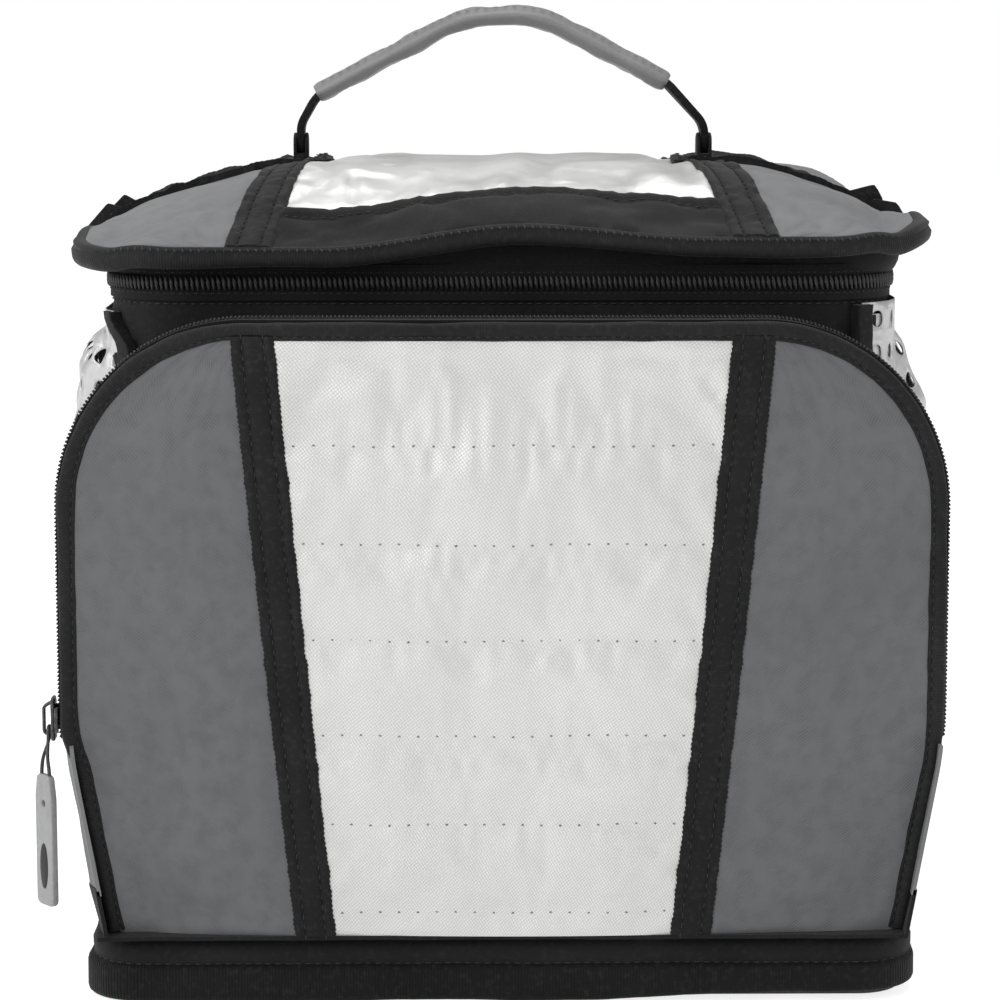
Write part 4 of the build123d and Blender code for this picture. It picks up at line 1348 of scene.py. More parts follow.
@dataclass
class Body(Part):
    """The insulated body: outer walls, rim binding and foil liner."""

    width: float = 256.0
    depth: float = 180.0
    radius: float = 28.0
    middle: float = 15.0
    low: float = 14.0
    top: float = 227.4
    wall: float = 1.2
    seam_z: float = 221.6
    step: float = 4.0
    rows: int = 48
    rim_z: float = 227.7
    tub_inset: float = 11.4

    def loop(self, out: float, step: float | None = None) -> tuple[Array, Array]:
        """The body's outline drawn outward by out, and its outward directions.

        Args:
            out: How far outward it is drawn.
            step: The spacing of its points.

        Returns:
            The points in X and Y and their outward directions.
        """
        grown = (self.width + 2 * out, self.depth + 2 * out, self.radius + out)
        line, away = box_loop(*grown, self.middle, step or self.step)
        return line, raised(away, 0)

    def walls(self, line: Array) -> Array:
        """A line's points at every level of the walls."""
        return np.stack([raised(line, z) for z in np.linspace(self.low, self.top, self.rows)], axis=1)

    def cloth(self) -> Cloth:
        """The walls as one sheet, joined at the middle of the rear.

        Returns:
            The sheet.
        """
        line, _ = self.loop(0)
        points = self.walls(np.vstack([line, line[:1]]))
        x, y, z = points[..., 0], points[..., 1] - self.middle, points[..., 2]
        held = ((z < 27) | (z > self.seam_z)).astype(float)
        held[0] = held[-1] = 1
        corner = (np.abs(x) > self.width / 2 - 12) & (np.abs(y) > self.depth / 2 - 12)
        return Cloth("body walls", points, np.maximum(held, corner * 0.4), 0.022, 2.2, 2.4)

    def build(self) -> None:
        """Makes the body's pieces."""
        self.build_walls()
        self.build_rim()
        self.build_liner()

    def build_walls(self) -> None:
        """The outer walls from the settled cloth, folded below the rim seam."""
        line, away = self.loop(0)
        away = away[:, None]
        plain = self.walls(line)
        front = plain + self.kit.moves["body walls"][:-1]
        z = front[..., 2]
        before = smooth_step(-front[..., 1], 30, 70)
        fold = 1.3 * np.sin((z - 199) / 21 * 2 * math.pi) * smooth_step(z, 196, 203) * (1 - smooth_step(z, 213, 221))
        fold += 0.5 * ruffle(front, 45, 31) * smooth_step(z, 30, 60) * (1 - smooth_step(z, 212, 221))
        front = front + away * (fold * (0.35 + 0.65 * before))[..., None]
        front = front - away * (0.7 * np.exp(-(((z - self.seam_z) / 1.2) ** 2)))[..., None]
        sunk = np.sum((front - plain) * away, axis=-1)
        front = front + away * (np.maximum(sunk, 0.25 * np.tanh((sunk - 0.1) * 2) - 0.1) - sunk)[..., None]
        levels = np.linspace(self.low, self.top, self.rows)
        shell = Shell().sheet(front, front - away * self.wall, np.arange(len(line) + 1) * self.step, levels, wrap=True)
        walls = self.put(shell, "body_walls", "black fabric", "carrier", "black_fabric", "front_wall", "rear_wall",
                         "left_wall", "right_wall")
        seam, out = self.loop(0.15, 3)
        self.sew("body_top_stitches", [(raised(seam, self.seam_z + 1.6), out)], 3.0, (2.3, 0.5, 0.5), "carrier",
                 closed=True)

    def build_rim(self) -> None:
        """The binding over the top edge of the walls."""
        line, out = self.loop(-6, 3)
        path = raised(line, self.rim_z)
        section = np.repeat(round_section(12.2, 2.5, 1.2)[None], len(path), axis=0)
        section[..., 1] += 0.12 * ruffle(path, 30, 33)[:, None]
        rim = Shell().sweep(path, out, UP, section, closed=True)
        self.put(rim, "rim_fold", "binding tape", "carrier", "black_fabric", "rim_binding")

    def build_liner(self) -> None:
        """The foil tub, crinkled on its open side."""
        line, out = self.loop(-self.tub_inset, 5)
        down, over = 44, 16
        floor = self.low + 0.9
        levels = np.concatenate([np.linspace(self.top, self.low + 5, down), [self.low + 2.2, floor]])
        shrink = np.concatenate([np.zeros(down), [0.9, 2.6]])
        rings = [raised(line, z) - out * cut for z, cut in zip(levels, shrink)]
        centre = np.array([0, self.middle, floor])
        rings += [centre + (rings[-1] - centre) * np.array([share, share, 1]) for share in np.linspace(0.94, 0.0, over)]
        inner = np.stack(rings, axis=1)
        depth = np.concatenate([smooth_step(self.top - levels, 0, 12), np.ones(over)])
        crush = 0.9 * crumple(inner, 42, 41) * depth
        lean = np.concatenate([np.ones(down), [0.7, 0.2], np.zeros(over)])[None, :, None]
        push = -out[:, None] * lean + UP * (1 - lean)
        inner = inner + push * (0.8 + crush)[..., None] * depth[None, :, None]
        tub = Shell().sheet(inner, inner - push * 0.6, np.arange(len(line) + 1) * 5.0, measured(inner[0]), wrap=True)
        self.put(tub, "foil_tub", "liner foil", "carrier", "liner_foil", "liner_tub", sharp=180)


# ---------------------------------------------------------------- zips
@dataclass(frozen=True)
class ZipSize:
    """A zip's sizes: tape width and thickness, a tooth along, across and outward, the pitch and how far teeth mesh."""

    tape: tuple[float, float]
    tooth: tuple[float, float, float]
    pitch: float
    mesh: float = 0.0
    gap: float = 0.15


@dataclass
class ZipHalf(Part):
    """One half of a zip: its name and body, which way its tape runs and the nodes of its tape and coil."""

    name: str
    body: str
    way: int
    nodes: tuple[str, str]
    size: ZipSize

    def build(self, line: Array, out: Array, across: Array, edge: Array | None = None) -> None:
        """Makes the half's tape, its coil and the coil's stitching.

        Args:
            line: The meeting line of the two halves.
            out: The outward direction at each point.
            across: The direction from the meeting line over the upper half.
            edge: The tape's width at each point, where it isn't the same all along.
        """
        size, (width, thick), tooth = self.size, self.size.tape, self.size.tooth
        reach = np.full(len(line), width) if edge is None else edge
        columns = np.linspace(0, 1, 5)
        front = np.stack([line + across * (self.way * (size.gap + reach * share))[:, None] + out * thick
                          for share in columns], 1)
        tape = Shell().sheet(front, front - out[:, None] * thick, measured(line), columns * width)
        self.put(tape, f"{self.name}_tape", "zip tape", self.body, "zip_tape", self.nodes[0])
        seat = line + across * (self.way * (size.gap + (tooth[1] - size.mesh) / 2 - 0.1))
        seat = seat + out * (thick + tooth[2] / 2 - 0.25)
        block = (tooth[0] * 1.15, tooth[1] * 1.3 + size.mesh, tooth[2] * 1.2)
        teeth = self.kit.rows.along(f"{self.name}_coil", [(seat, out)], size.pitch, block,
                                    self.kit.finishes["coil nylon"], slant=16, unevenness=1.5)
        self.place(teeth, self.body, "zip_coil", self.nodes[1])
        seam = line + across * (self.way * (size.gap + tooth[1] + 0.5)) + out * (thick + 0.1)
        self.sew(f"{self.name}_stitches", [(seam, out)], size.pitch * 1.5, (size.pitch * 1.1, 0.4, 0.35), self.body,
                 "zip_tape")


@dataclass
class SliderSet(Part):
    """A zip slider with its wire pull and moulded tab, hanging on one side of the bag."""

    name: str
    seat: tuple[float, float]
    plate_out: float
    turned: bool
    wire: tuple[float, float]
    tab: tuple[float, float]
    length: float = 14.0
    thick: float = 1.2
    bridge: float = 3.0
    wire_d: float = 1.3
    pull_seat: float = 4.2
    tab_grip: float = 4.0
    tab_t: float = 2.3
    tab_bevel: float = 0.45
    hole_drop: float = 5.0
    hole: float = 3.0
    twist: float = 0.0
    stand: float = 0.0

    def at(self, along: Array, across: Array, out: Array | float) -> Array:
        """Places for measures down the pull, across it and outward from the plate.

        Args:
            along: The measures down the pull.
            across: The measures across it.
            out: The measures outward.

        Returns:
            The places.
        """
        x = -self.plate_out - out + 0 * along
        if self.turned:
            return np.column_stack([x, self.seat[0] - along, self.seat[1] - across])
        return np.column_stack([x, self.seat[0] + across, self.seat[1] - along])

    def hung(self, spots: Array) -> Array:
        """Places for measures in the pull, twisted about its length below the slider.

        Args:
            spots: Measures down the pull, across it and outward.

        Returns:
            The places.
        """
        top = self.length / 2 - self.pull_seat
        turn = math.radians(self.twist) * smooth_step(spots[:, 0], top + 2, top + self.wire[1] - self.tab_grip)
        across = spots[:, 1] * np.cos(turn) - spots[:, 2] * np.sin(turn)
        out = spots[:, 1] * np.sin(turn) + spots[:, 2] * np.cos(turn)
        out = out + (self.bridge - 1.0) / 2 + self.stand * smooth_step(spots[:, 0], top + 2, top + 12)
        return self.at(spots[:, 0], across, out)

    def build(self) -> None:
        """Makes the slider, the wire and the tab."""
        self.build_slider()
        self.build_wire()
        self.build_tab()

    def build_slider(self) -> None:
        """The slider's plate with its bridge and lips."""
        half = self.length / 2
        shape = rounded_path([(0, -3.2), (half - 3, -4.5), (half, -3.2), (half, 3.2), (half - 3, 4.5), (0, 3.2),
                              (-half + 2, 4.3), (-half, 2.6), (-half, -2.6), (-half + 2, -4.3)],
                             [4, 2, 1.4, 1.4, 2, 4, 2, 1.4, 1.4, 2], 0.6, closed=True)
        body = self.plate(f"{self.name}_zip_slider", shape, lambda flat, z: self.at(flat[:, 0], flat[:, 1], z),
                          (-self.thick, 0.0), 0.35, "slider paint")
        bow = rounded_path([(-half + 1.2, -0.3), (-half + 3.2, self.bridge), (half - 2.4, self.bridge),
                            (half - 1.0, -0.3)], [0, 1.4, 1.4, 0], 0.5)
        along, flat = tangents(bow), np.zeros(len(bow))
        origin = self.at(flat, flat, 0.0)
        up = unit(self.at(-along[:, 1], flat, along[:, 0]) - origin)
        side = self.at(flat, flat + 1, 0.0) - origin
        paint = self.kit.finishes["slider paint"]
        loop = Shell().sweep(self.at(bow[:, 0], flat, bow[:, 1] - 0.5), side, up, round_section(2.4, 1.0, 0.4))
        lips = Shell()
        flank = np.linspace(-half + 3, half - 3, 9)
        for way in (-1, 1):
            run = self.at(flank, np.full(9, way * 3.7), -self.thick - 0.65)
            lips.sweep(run, side[0], np.array([-1.0, 0, 0]), round_section(1.3, 1.4, 0.4))
        made = joined([body, loop.piece("bridge", paint), lips.piece("lips", paint)])
        self.place(made, f"{self.name}_slider", "slider_metal", f"{self.name}_slider")

    def build_wire(self) -> None:
        """The wire ring through the bridge."""
        top = self.length / 2 - self.pull_seat
        reach, low = self.wire[0] / 2 - 0.65, top + self.wire[1]
        ring = rounded_path([(top, -reach), (top, reach), (low, reach), (low, -reach)], [1.6] * 4, 0.6, closed=True)
        along = tangents(ring, closed=True)
        flat = raised(ring, 0.0)
        path = self.hung(flat)
        side = unit(self.hung(flat + raised(np.column_stack([-along[:, 1], along[:, 0]]), 0.0) * 0.1) - path)
        section = round_section(self.wire_d, self.wire_d - 0.2, 0.5)
        wire = Shell().sweep(path, side, unit(self.hung(flat + UP * 0.1) - path), section, closed=True)
        self.put(wire, f"{self.name}_wire", "slider paint", f"{self.name}_pull", "slider_metal", f"{self.name}_pull",
                 sharp=80)

    def build_tab(self) -> None:
        """The tab moulded over the wire's end, with its hole and its bare plate."""
        width, long = self.tab
        end = self.length / 2 - self.pull_seat + self.wire[1]
        start = end - self.tab_grip
        waist = [(start, -width / 2 + 1.2), (start + 7, -width / 2), (start + long, -width / 2),
                 (start + long, width / 2), (start + 7, width / 2), (start, width / 2 - 1.2)]
        outline = rounded_path(waist, [1.5, 5, 1.8, 1.8, 5, 1.5], 0.7, closed=True)
        hole = superellipse(self.hole, self.hole, (1, 1), 20) + np.array([end + self.hole_drop, 0])
        self.place(self.punched(outline, hole), f"{self.name}_pull", "pull_rubber", f"{self.name}_pull_tab")
        oval_long = min(15.0, long * 0.36)
        oval = superellipse(oval_long, width * 0.5, (1, 1), 32) + np.array([start + long - oval_long / 2 - 5, 0])
        badge = self.plate(f"{self.name}_tab_plate", oval, lambda flat, z: self.hung(raised(flat, z)), (1.0, 1.35),
                           0.12, "bare plate")
        self.place(badge, f"{self.name}_pull", "pull_rubber")

    def punched(self, outline: Array, hole: Array) -> Piece:
        """Makes the tab's slab with a hole through it.

        Args:
            outline: The slab's outline, down the pull and across it.
            hole: The hole's outline.

        Returns:
            The slab, hung in its place.
        """
        curve = bpy.data.curves.new(f"{self.name}_tab", "CURVE")
        curve.dimensions = "2D"
        curve.fill_mode = "BOTH"
        curve.extrude = (self.tab_t / 2 - self.tab_bevel) * MM
        curve.bevel_depth = self.tab_bevel * MM
        curve.bevel_resolution = 2
        for ring in (outline, hole):
            spline = curve.splines.new("POLY")
            spline.points.add(len(ring) - 1)
            spline.points.foreach_set("co", raised(raised(ring * MM, 0), 1).ravel())
            spline.use_cyclic_u = True
        made = baked(linked(curve.name + "_line", curve), curve.name, self.kit.finishes["pull rubber"], sharp=50)
        shift_points(made, self.hung)
        mend(made.data)
        return made


# ---------------------------------------------------------------- panels and straps
@dataclass(frozen=True)
class Webbing:
    """A strap's section from its edge to its middle, its seams, its fray and its unevenness."""

    height: tuple[float, ...]
    share: tuple[float, ...]
    fray: tuple[float, float]
    sway: tuple[float, float]
    seed: int
    wide: float
    lift: float
    sink: float
    seam: float
    seams: tuple[int, int] = (4, 8)


@dataclass
class Face(Part):
    """A side of the bag with a panel between two straps."""

    strap_ends: tuple[tuple[float, float], tuple[float, float]]
    run_ends: tuple[float, float]
    out: Array
    settled: Array | None = field(default=None, init=False)

    def surface(self, x: Array, run: Array, lift: float | Array = 0.0) -> Array:
        """Places on the face at a lift above it."""
        raise NotImplementedError

    def strap_edge(self, outer: bool, run: Array) -> Array:
        """How far from the middle a strap's inner or outer edge lies."""
        (start, end), (low, high) = (ends[outer] for ends in self.strap_ends), self.run_ends
        return start + (end - start) * (run - low) / (high - low)

    def seam(self, run: Array) -> Array:
        """How far from the middle the seam under a strap lies."""
        return (self.strap_edge(False, run) + self.strap_edge(True, run)) / 2

    def panel(self, left: Array, right: Array, run: Array, columns: int, lift: float | Array, thick: float,
              drawn: Callable[[Array, Array], Array] | None = None) -> Shell:
        """A panel between two edges, row by row.

        Args:
            left: Its left edge at each row.
            right: Its right edge at each row.
            run: Where its rows lie.
            columns: How many points a row has.
            lift: How far it lies above the face.
            thick: How thick its cloth is.
            drawn: How far its points are drawn aside along the run.

        Returns:
            The panel's faces.
        """
        share = np.linspace(0, 1, columns)
        x = left[:, None] * (1 - share) + right[:, None] * share
        level = np.broadcast_to(run[:, None], x.shape)
        level = level if drawn is None else level + drawn(x, level)
        reach = np.linspace(0, float(np.abs(right - left).max()), columns)
        return Shell().sheet(self.surface(x, level, lift), self.surface(x, level, lift - thick), run, reach)

    def straps(self, run: Array, strap: Webbing) -> tuple[Shell, Lines]:
        """The two straps over the seams.

        Args:
            run: Where their rows lie.
            strap: How they are woven.

        Returns:
            The straps' faces and the lines of their stitching.
        """
        height, share = (np.array(half + half[-2::-1]) for half in (strap.height, strap.share))
        share[len(share) // 2 + 1:] = 1 - share[len(share) // 2 + 1:]
        edge = np.floor(share) - (share == 0)
        fray = strap.fray[0] * np.abs(np.sin(np.arange(len(run)) * math.pi / 2))
        fray = fray + strap.fray[1] * ruffle(run[:, None], 9, strap.seed, 2)
        inner, outer = self.strap_edge(False, run)[:, None], self.strap_edge(True, run)[:, None]
        shell, lines = Shell(), []
        for way in (-1, 1):
            x = way * (inner * (1 - share) + outer * share + fray[:, None] * edge)
            level = np.broadcast_to(run[:, None], x.shape)
            base = self.surface(x, level, strap.lift)
            sway = 1 + strap.sway[0] * ruffle(np.stack([x, level], -1), strap.sway[1], strap.seed + 1, 2)
            front = base + self.out * (height * sway)[..., None]
            shell.sheet(front, base - self.out * strap.sink, run, share * strap.wide)
            lines += [(base[::4, column] + self.out * strap.seam, self.out) for column in strap.seams]
        return shell, lines


# ---------------------------------------------------------------- front pocket
@dataclass
class Pocket(Face):
    """The big zipped front pocket: quilted front, gusset, zip and bindings."""

    strap_ends: tuple[tuple[float, float], tuple[float, float]] = ((53.5, 66.2), (72.0, 85.6))
    run_ends: tuple[float, float] = (24.0, 221.0)
    out: Array = field(default_factory=AHEAD.copy)
    half: float = 141.0
    foot: float = 130.0
    radius: float = 60.0
    knee: float = 86.0
    knee_r: float = 120.0
    tuck: float = 2.6
    crown_r: float = 1243.0
    crown_z: float = 122.0
    front: float = 118.0
    mouth: float = 103.65
    rear: float = 68.0
    flare: float = math.tan(math.radians(28))
    flare_y: float = 98.0
    quilt_rows: tuple[float, ...] = (182.0, 151.0, 120.5, 90.0, 61.0, 32.0)
    grid: tuple[int, int] = (96, 68)
    strap: Webbing = Webbing((0.35, 0.95, 1.15, 1.15, 0.65, 1.15, 1.2), (0, 0.04, 0.1, 0.2, 0.245, 0.29, 0.5),
                             (0.35, 0.15), (0.12, 26), 52, 13, 0, 0.1, 0.85)
    tape: tuple[tuple[float, float], ...] = (
        (3.0, -1.0), (2.85, 0.45), (2.1, 1.2), (0.9, 1.4), (-0.4, 1.3), (-1.1, 0.95), (-1.45, 0.6), (-1.8, 0.85),
        (-2.4, 0.8), (-2.7, 0.3), (-2.7, -2.6), (-2.0, -3.0), (2.0, -3.0), (2.9, -2.2))
    zip_size: ZipSize = ZipSize((5.5, 1.2), (0.72, 1.75, 1.2), 1.3)

    def __post_init__(self) -> None:
        """Names the ends of its height."""
        self.low, self.top = self.run_ends

    def path(self, inset: float, step: float = 2.0, low: float | None = None) -> tuple[Array, Array]:
        """The outline seen from the front, from its left foot over the top to its right foot.

        Args:
            inset: How far it is drawn inward.
            step: The spacing of its points.
            low: The height at which it is cut off.

        Returns:
            Points in X and Z and their outward directions.
        """
        corners = [(-self.foot, self.low), (-self.half, self.knee), (-self.half, self.top), (self.half, self.top),
                   (self.half, self.knee), (self.foot, self.low)]
        line = rounded_path(corners, [0, self.knee_r, self.radius, self.radius, self.knee_r, 0], step)
        along = tangents(line)
        out = np.stack([-along[:, 1], along[:, 0]], axis=1)
        line = line - out * inset
        keep = line[:, 1] >= (self.low - 1 if low is None else low)
        return line[keep], out[keep]

    def surface(self, x: Array, run: Array, lift: float | Array = 0.0) -> Array:
        """Places on the crowned front at a lift above it, with the settled cloth's unevenness.

        Args:
            x: Their X.
            run: Their heights.
            lift: How far they lie above the front.

        Returns:
            The places.
        """
        y = self.crown_r - self.front - np.sqrt((self.crown_r + lift) ** 2 - x**2 - (run - self.crown_z) ** 2)
        spots = np.stack([x, y, run], axis=-1)
        if self.settled is not None:
            spots = spots + read_grid(self.settled, (-self.half, self.low), (self.half, self.top), x, run)
        return spots

    def edge(self, z: Array, inset: float) -> Array:
        """How far from the middle the inset outline lies at a height.

        Args:
            z: The heights.
            inset: How far the outline is drawn inward.

        Returns:
            The distances.
        """
        arc_z = self.top - self.radius
        arc = np.sqrt(np.clip((self.radius - inset) ** 2 - np.clip(z - arc_z, 0, None) ** 2, 0, None))
        slope = (self.half - self.foot) / (self.knee - self.low)
        bend = self.knee_r * slope / 2
        start = np.clip(self.knee + bend - z, 0, None)
        side = self.half - inset - np.where(start < 2 * bend, start**2 / (2 * self.knee_r), (self.knee - z) * slope)
        return np.where(z > arc_z, self.half - self.radius + arc, side)

    def tucked(self, z: Array) -> Array:
        """How far the front's edge is drawn in below the flap, which bares the wall behind it."""
        return self.tuck * smooth_step(self.knee + 6 - z, 0, 16)

    def heights(self, inset: float, step: float) -> Array:
        """Heights for a panel's rows, closer together round the top corners.

        Args:
            inset: How far the panel's edge is drawn inward.
            step: The spacing of its straight rows.

        Returns:
            The heights.
        """
        arc_z = self.top - self.radius
        angle = np.linspace(0, math.pi / 2, int(self.radius * 1.7 / step))
        return np.concatenate([np.arange(self.low, arc_z, step), arc_z + (self.radius - inset) * np.sin(angle)])

    def mesh_grid(self) -> tuple[Array, Array]:
        """The settled front's grid in X and Z."""
        x = np.linspace(-self.half, self.half, self.grid[0])
        return tuple(np.meshgrid(x, np.linspace(self.low, self.top, self.grid[1]), indexing="ij"))

    def cloth(self) -> Cloth:
        """The front as one sheet, held at its edge, straps and quilting.

        Returns:
            The sheet.
        """
        x, z = self.mesh_grid()
        across = np.abs(x)
        inner, outer = self.strap_edge(False, z), self.strap_edge(True, z)
        held = ((self.edge(z, 8.0) < across) | (z > self.top - 8) | (z < self.low + 1)).astype(float)
        held = np.maximum(held, 0.9 * ((across > inner + 2) & (across < outer - 2)))
        for row in self.quilt_rows:
            held = np.maximum(held, 0.8 * ((np.abs(z - row) < 1.6) & (across < inner)))
        return Cloth("pocket front", self.surface(x, z), held, 0.016, 3.0, 3.0)

    def build(self) -> None:
        """Makes the pocket's pieces from the settled front."""
        x, z = self.mesh_grid()
        inside = smooth_step(self.edge(z, 0) - np.abs(x), 5, 24)[..., None]
        grey = (np.abs(x) > self.strap_edge(True, z))[..., None]
        hand = 0.45 * ruffle(np.stack([x, z], -1), 120, 51, 2)[..., None] * inside
        self.settled = self.kit.moves["pocket front"] * np.where(grey, 0.55, 1.0) - (hand + self.pucker(x, z)) * AHEAD
        self.build_panels()
        self.build_straps()
        self.build_quilting()
        self.build_binding()
        self.build_gusset()
        self.build_floor()
        self.build_zip()
        SliderSet(self.kit, "pocket", (-self.mouth, 93.3), self.half + 2.9, False, (6.0, 20.0), (9.0, 42.0), twist=38.0,
                  stand=1.4).build()

    @staticmethod
    def pucker(x: Array, z: Array) -> Array:
        """How deep the creases sewn into the front lie: one in the silver's upper right, one in the lower left grey.

        Args:
            x: Places across the front.
            z: Their heights.

        Returns:
            The depths.
        """
        run = (x - 62) * 0.78 + (z - 204) * 0.62
        crease = np.exp(-((run / 2.0) ** 2)) * np.exp(-(((x - 66) * 0.62 - (z - 199) * 0.78) / 9) ** 2)
        nick = np.exp(-(((x + 103) / 3.5) ** 2) - ((z - 35) / 7) ** 2)
        drape = np.exp(-(((x + 112 - (z - 40) * 0.12) / 7) ** 2)) * (1 - smooth_step(z, 60, 120))
        broad = np.exp(-(((x + 38 - (z - 90) * 0.35) / 9) ** 2))
        broad = broad * smooth_step(z, 95, 150) * (1 - smooth_step(z, 185, 210))
        return (2.4 * crease + 2.0 * nick + 1.6 * drape - 0.9 * broad)[..., None]

    def bend(self, piece: Piece, slot: str, *nodes: str) -> None:
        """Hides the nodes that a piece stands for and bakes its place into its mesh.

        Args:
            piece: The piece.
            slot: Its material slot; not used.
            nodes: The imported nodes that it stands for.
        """
        if nodes:
            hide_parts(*nodes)
        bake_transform(piece)
        log.info("%s bends between carrier and pocket_flap", piece.name)

    def bend_row(self, name: str, lines: Lines, pitch: float, size: Sequence[float], finish: str = "thread") -> None:
        """Sews stitches along lines on the front."""
        self.bend(self.kit.rows.along(name, lines, pitch, size, self.kit.finishes[finish]), "black_webbing")

    def build_panels(self) -> None:
        """The silver middle, the two grey sides and the lining behind them."""
        finishes = self.kit.finishes
        z = np.arange(self.low, self.top - 5, 1.55)
        seam = self.seam(z)
        silver = self.panel(-seam, seam, z, 92, 0, 1.2)
        silver = silver.piece("pocket_silver_panel", finishes["silver fabric"], sharp=60)
        self.bend(silver, "silver_fabric", "pocket_silver", "flap_silver")
        z = self.heights(4.5, 2.4)
        seam, edge = self.seam(z), self.edge(z, 4.5)
        rim = np.maximum(edge, seam + 0.5)
        left = rim - self.tucked(z)
        for name, ends, nodes in (("left", (-seam, -left), ("flap_grey_left", "pocket_grey_panels")),
                                  ("right", (seam, rim), ("flap_grey_right",))):
            grey = self.panel(*ends, z, 30, 0, 1.2).piece(f"pocket_grey_{name}", finishes["grey fabric"], sharp=60)
            self.bend(grey, "grey_fabric", *nodes)
        lining = self.panel(self.tucked(z) - edge, edge, z, 80, -1.9, 1.0)
        lining = lining.piece("pocket_inside", finishes["lining cloth"], sharp=60)
        self.bend(lining, "pocket_lining_cloth", "pocket_lining", "flap_lining")

    def build_straps(self) -> None:
        """The two webbing straps over the seams, with their frayed edges and stitching."""
        shell, lines = self.straps(np.arange(self.low, self.top - 4.5, 0.8), self.strap)
        straps = shell.piece("pocket_webbing", self.kit.finishes["webbing"], sharp=60)
        self.bend(straps, "black_webbing", "pocket_straps", "flap_straps")
        self.bend_row("pocket_strap_stitches", lines, 3.3, (2.2, 0.5, 0.45))

    def build_quilting(self) -> None:
        """The stitched rows across the silver."""
        lines = []
        for number, z in enumerate(self.quilt_rows):
            reach = float(self.strap_edge(False, np.array([z]))[0]) - 3
            x = np.linspace(-reach, reach, 90)
            level = z + 0.3 * ruffle(x[:, None], 60, 60 + number, 2)
            lines.append((self.surface(x, level, -0.1), AHEAD))
        self.bend_row("quilt_stitches", lines, 6.0, (1.25, 0.95, 0.7), "quilt thread")

    def build_binding(self) -> None:
        """The folded tape round the front's edge."""
        line, out = self.path(3.6, 1.6)
        line[:, 0] += self.tucked(line[:, 1]) * (line[:, 0] < 0)
        centre = self.surface(line[:, 0], line[:, 1])
        side = upright(out)
        section = np.array(self.tape) * (1 + 0.07 * ruffle(centre, 28, 55))[:, None, None]
        tape = Shell().sweep(centre, side, AHEAD, section)
        binding = tape.piece("pocket_edge_tape", self.kit.finishes["binding tape"])
        self.bend(binding, "black_fabric", "pocket_binding", "flap_binding")
        seam = centre - side * 1.45 + AHEAD * 0.75
        self.bend_row("pocket_edge_stitches", [(seam, AHEAD)], 3.0, (2.2, 0.42, 0.4))

    def wall(self, depths: Array, inset: Callable[[float], Array], low: float, high: float | None) -> Shell:
        """A stretch of the gusset.

        Args:
            depths: The depths of its points from rear to front.
            inset: How far its left and right are drawn in at a depth.
            low: The height at which it is cut off.
            high: The height up to which it reaches on both sides; without it, it goes over the top.

        Returns:
            The stretch's faces.
        """
        line, out = self.path(0, 0.25, low)
        side = upright(out)
        shell = Shell()
        groups = [np.arange(len(line))]
        if high is not None:
            below = line[:, 1] <= high
            groups = [np.flatnonzero(below & (line[:, 0] * way > 0)) for way in (-1, 1)]
        for group in groups:
            group = np.append(group[:-6:12], group[-1])
            spine, away = upright(line[group]), side[group][:, None]
            drawn = np.stack([inset(depth) * np.ones(2) for depth in depths])[:, (spine[:, 0] > 0).astype(int)].T
            front = spine[:, None] - away * drawn[..., None] + np.outer(depths, AHEAD)
            sag = 0.55 * ruffle(front, 34, 57) * np.sin(np.linspace(0, math.pi, len(depths)))
            front = front + away * sag[..., None]
            reach = 5.4 * smooth_step(np.abs(front[:, 0, 0]), 112, 122)
            front[:, 0] += unit(front[:, 0] - front[:, 1]) * reach[:, None]
            shell.sheet(front, front - away * 1.2, measured(spine), depths)
        return shell

    def bowed(self, depth: float) -> Array:
        """How far the lower wall is drawn in at a depth: on the left it rounds in to the tucked front edge."""
        round_in = np.array([1.0, 0.25]) * (self.tuck + 0.6) * smooth_step(np.array(depth), 101, 115)
        return round_in + max(self.flare_y - depth, 0) * self.flare + 0.2

    def build_gusset(self) -> None:
        """The black wall over the top and the grey walls below, with their black feet."""
        upper = self.wall(np.linspace(self.rear, self.flare_y, 11), lambda depth: (self.flare_y - depth) * self.flare,
                          self.knee - 0.7, None)
        self.put(upper, "pocket_wall_upper", "black fabric", "carrier", "black_fabric", "pocket_gusset")
        depths = np.linspace(self.rear, 115.2, 17)
        lower = self.wall(depths, self.bowed, 37.0, self.knee - 0.2)
        # the lower walls use the grey fabric's lighter copy, painted light
        self.put(lower, "pocket_wall_lower", "lid grey fabric", "carrier", "grey_fabric", "pocket_gusset_lower")
        feet = self.wall(depths, lambda depth: self.bowed(depth) - 0.45, self.low, 38.8)
        self.put(feet, "pocket_wall_foot", "black fabric", "carrier", "black_fabric", "pocket_gusset_lower")

    def build_floor(self) -> None:
        """The cloth under the pocket."""
        x = np.linspace(-1, 1, 60)
        depth = np.linspace(69, 113.5, 14)
        half = 129.5 - np.clip(self.flare_y - depth, 0, None) * self.flare
        top = np.stack([np.column_stack([x * reach, np.full(60, -y), np.full(60, self.low)])
                        for reach, y in zip(half, depth)], axis=1)
        top[..., 2] += 0.15 * ruffle(top, 40, 58)
        floor = Shell().sheet(top, top - UP * 1.3, x * 129, depth)
        self.put(floor, "pocket_base_cloth", "black fabric", "carrier", "black_fabric", "pocket_floor")

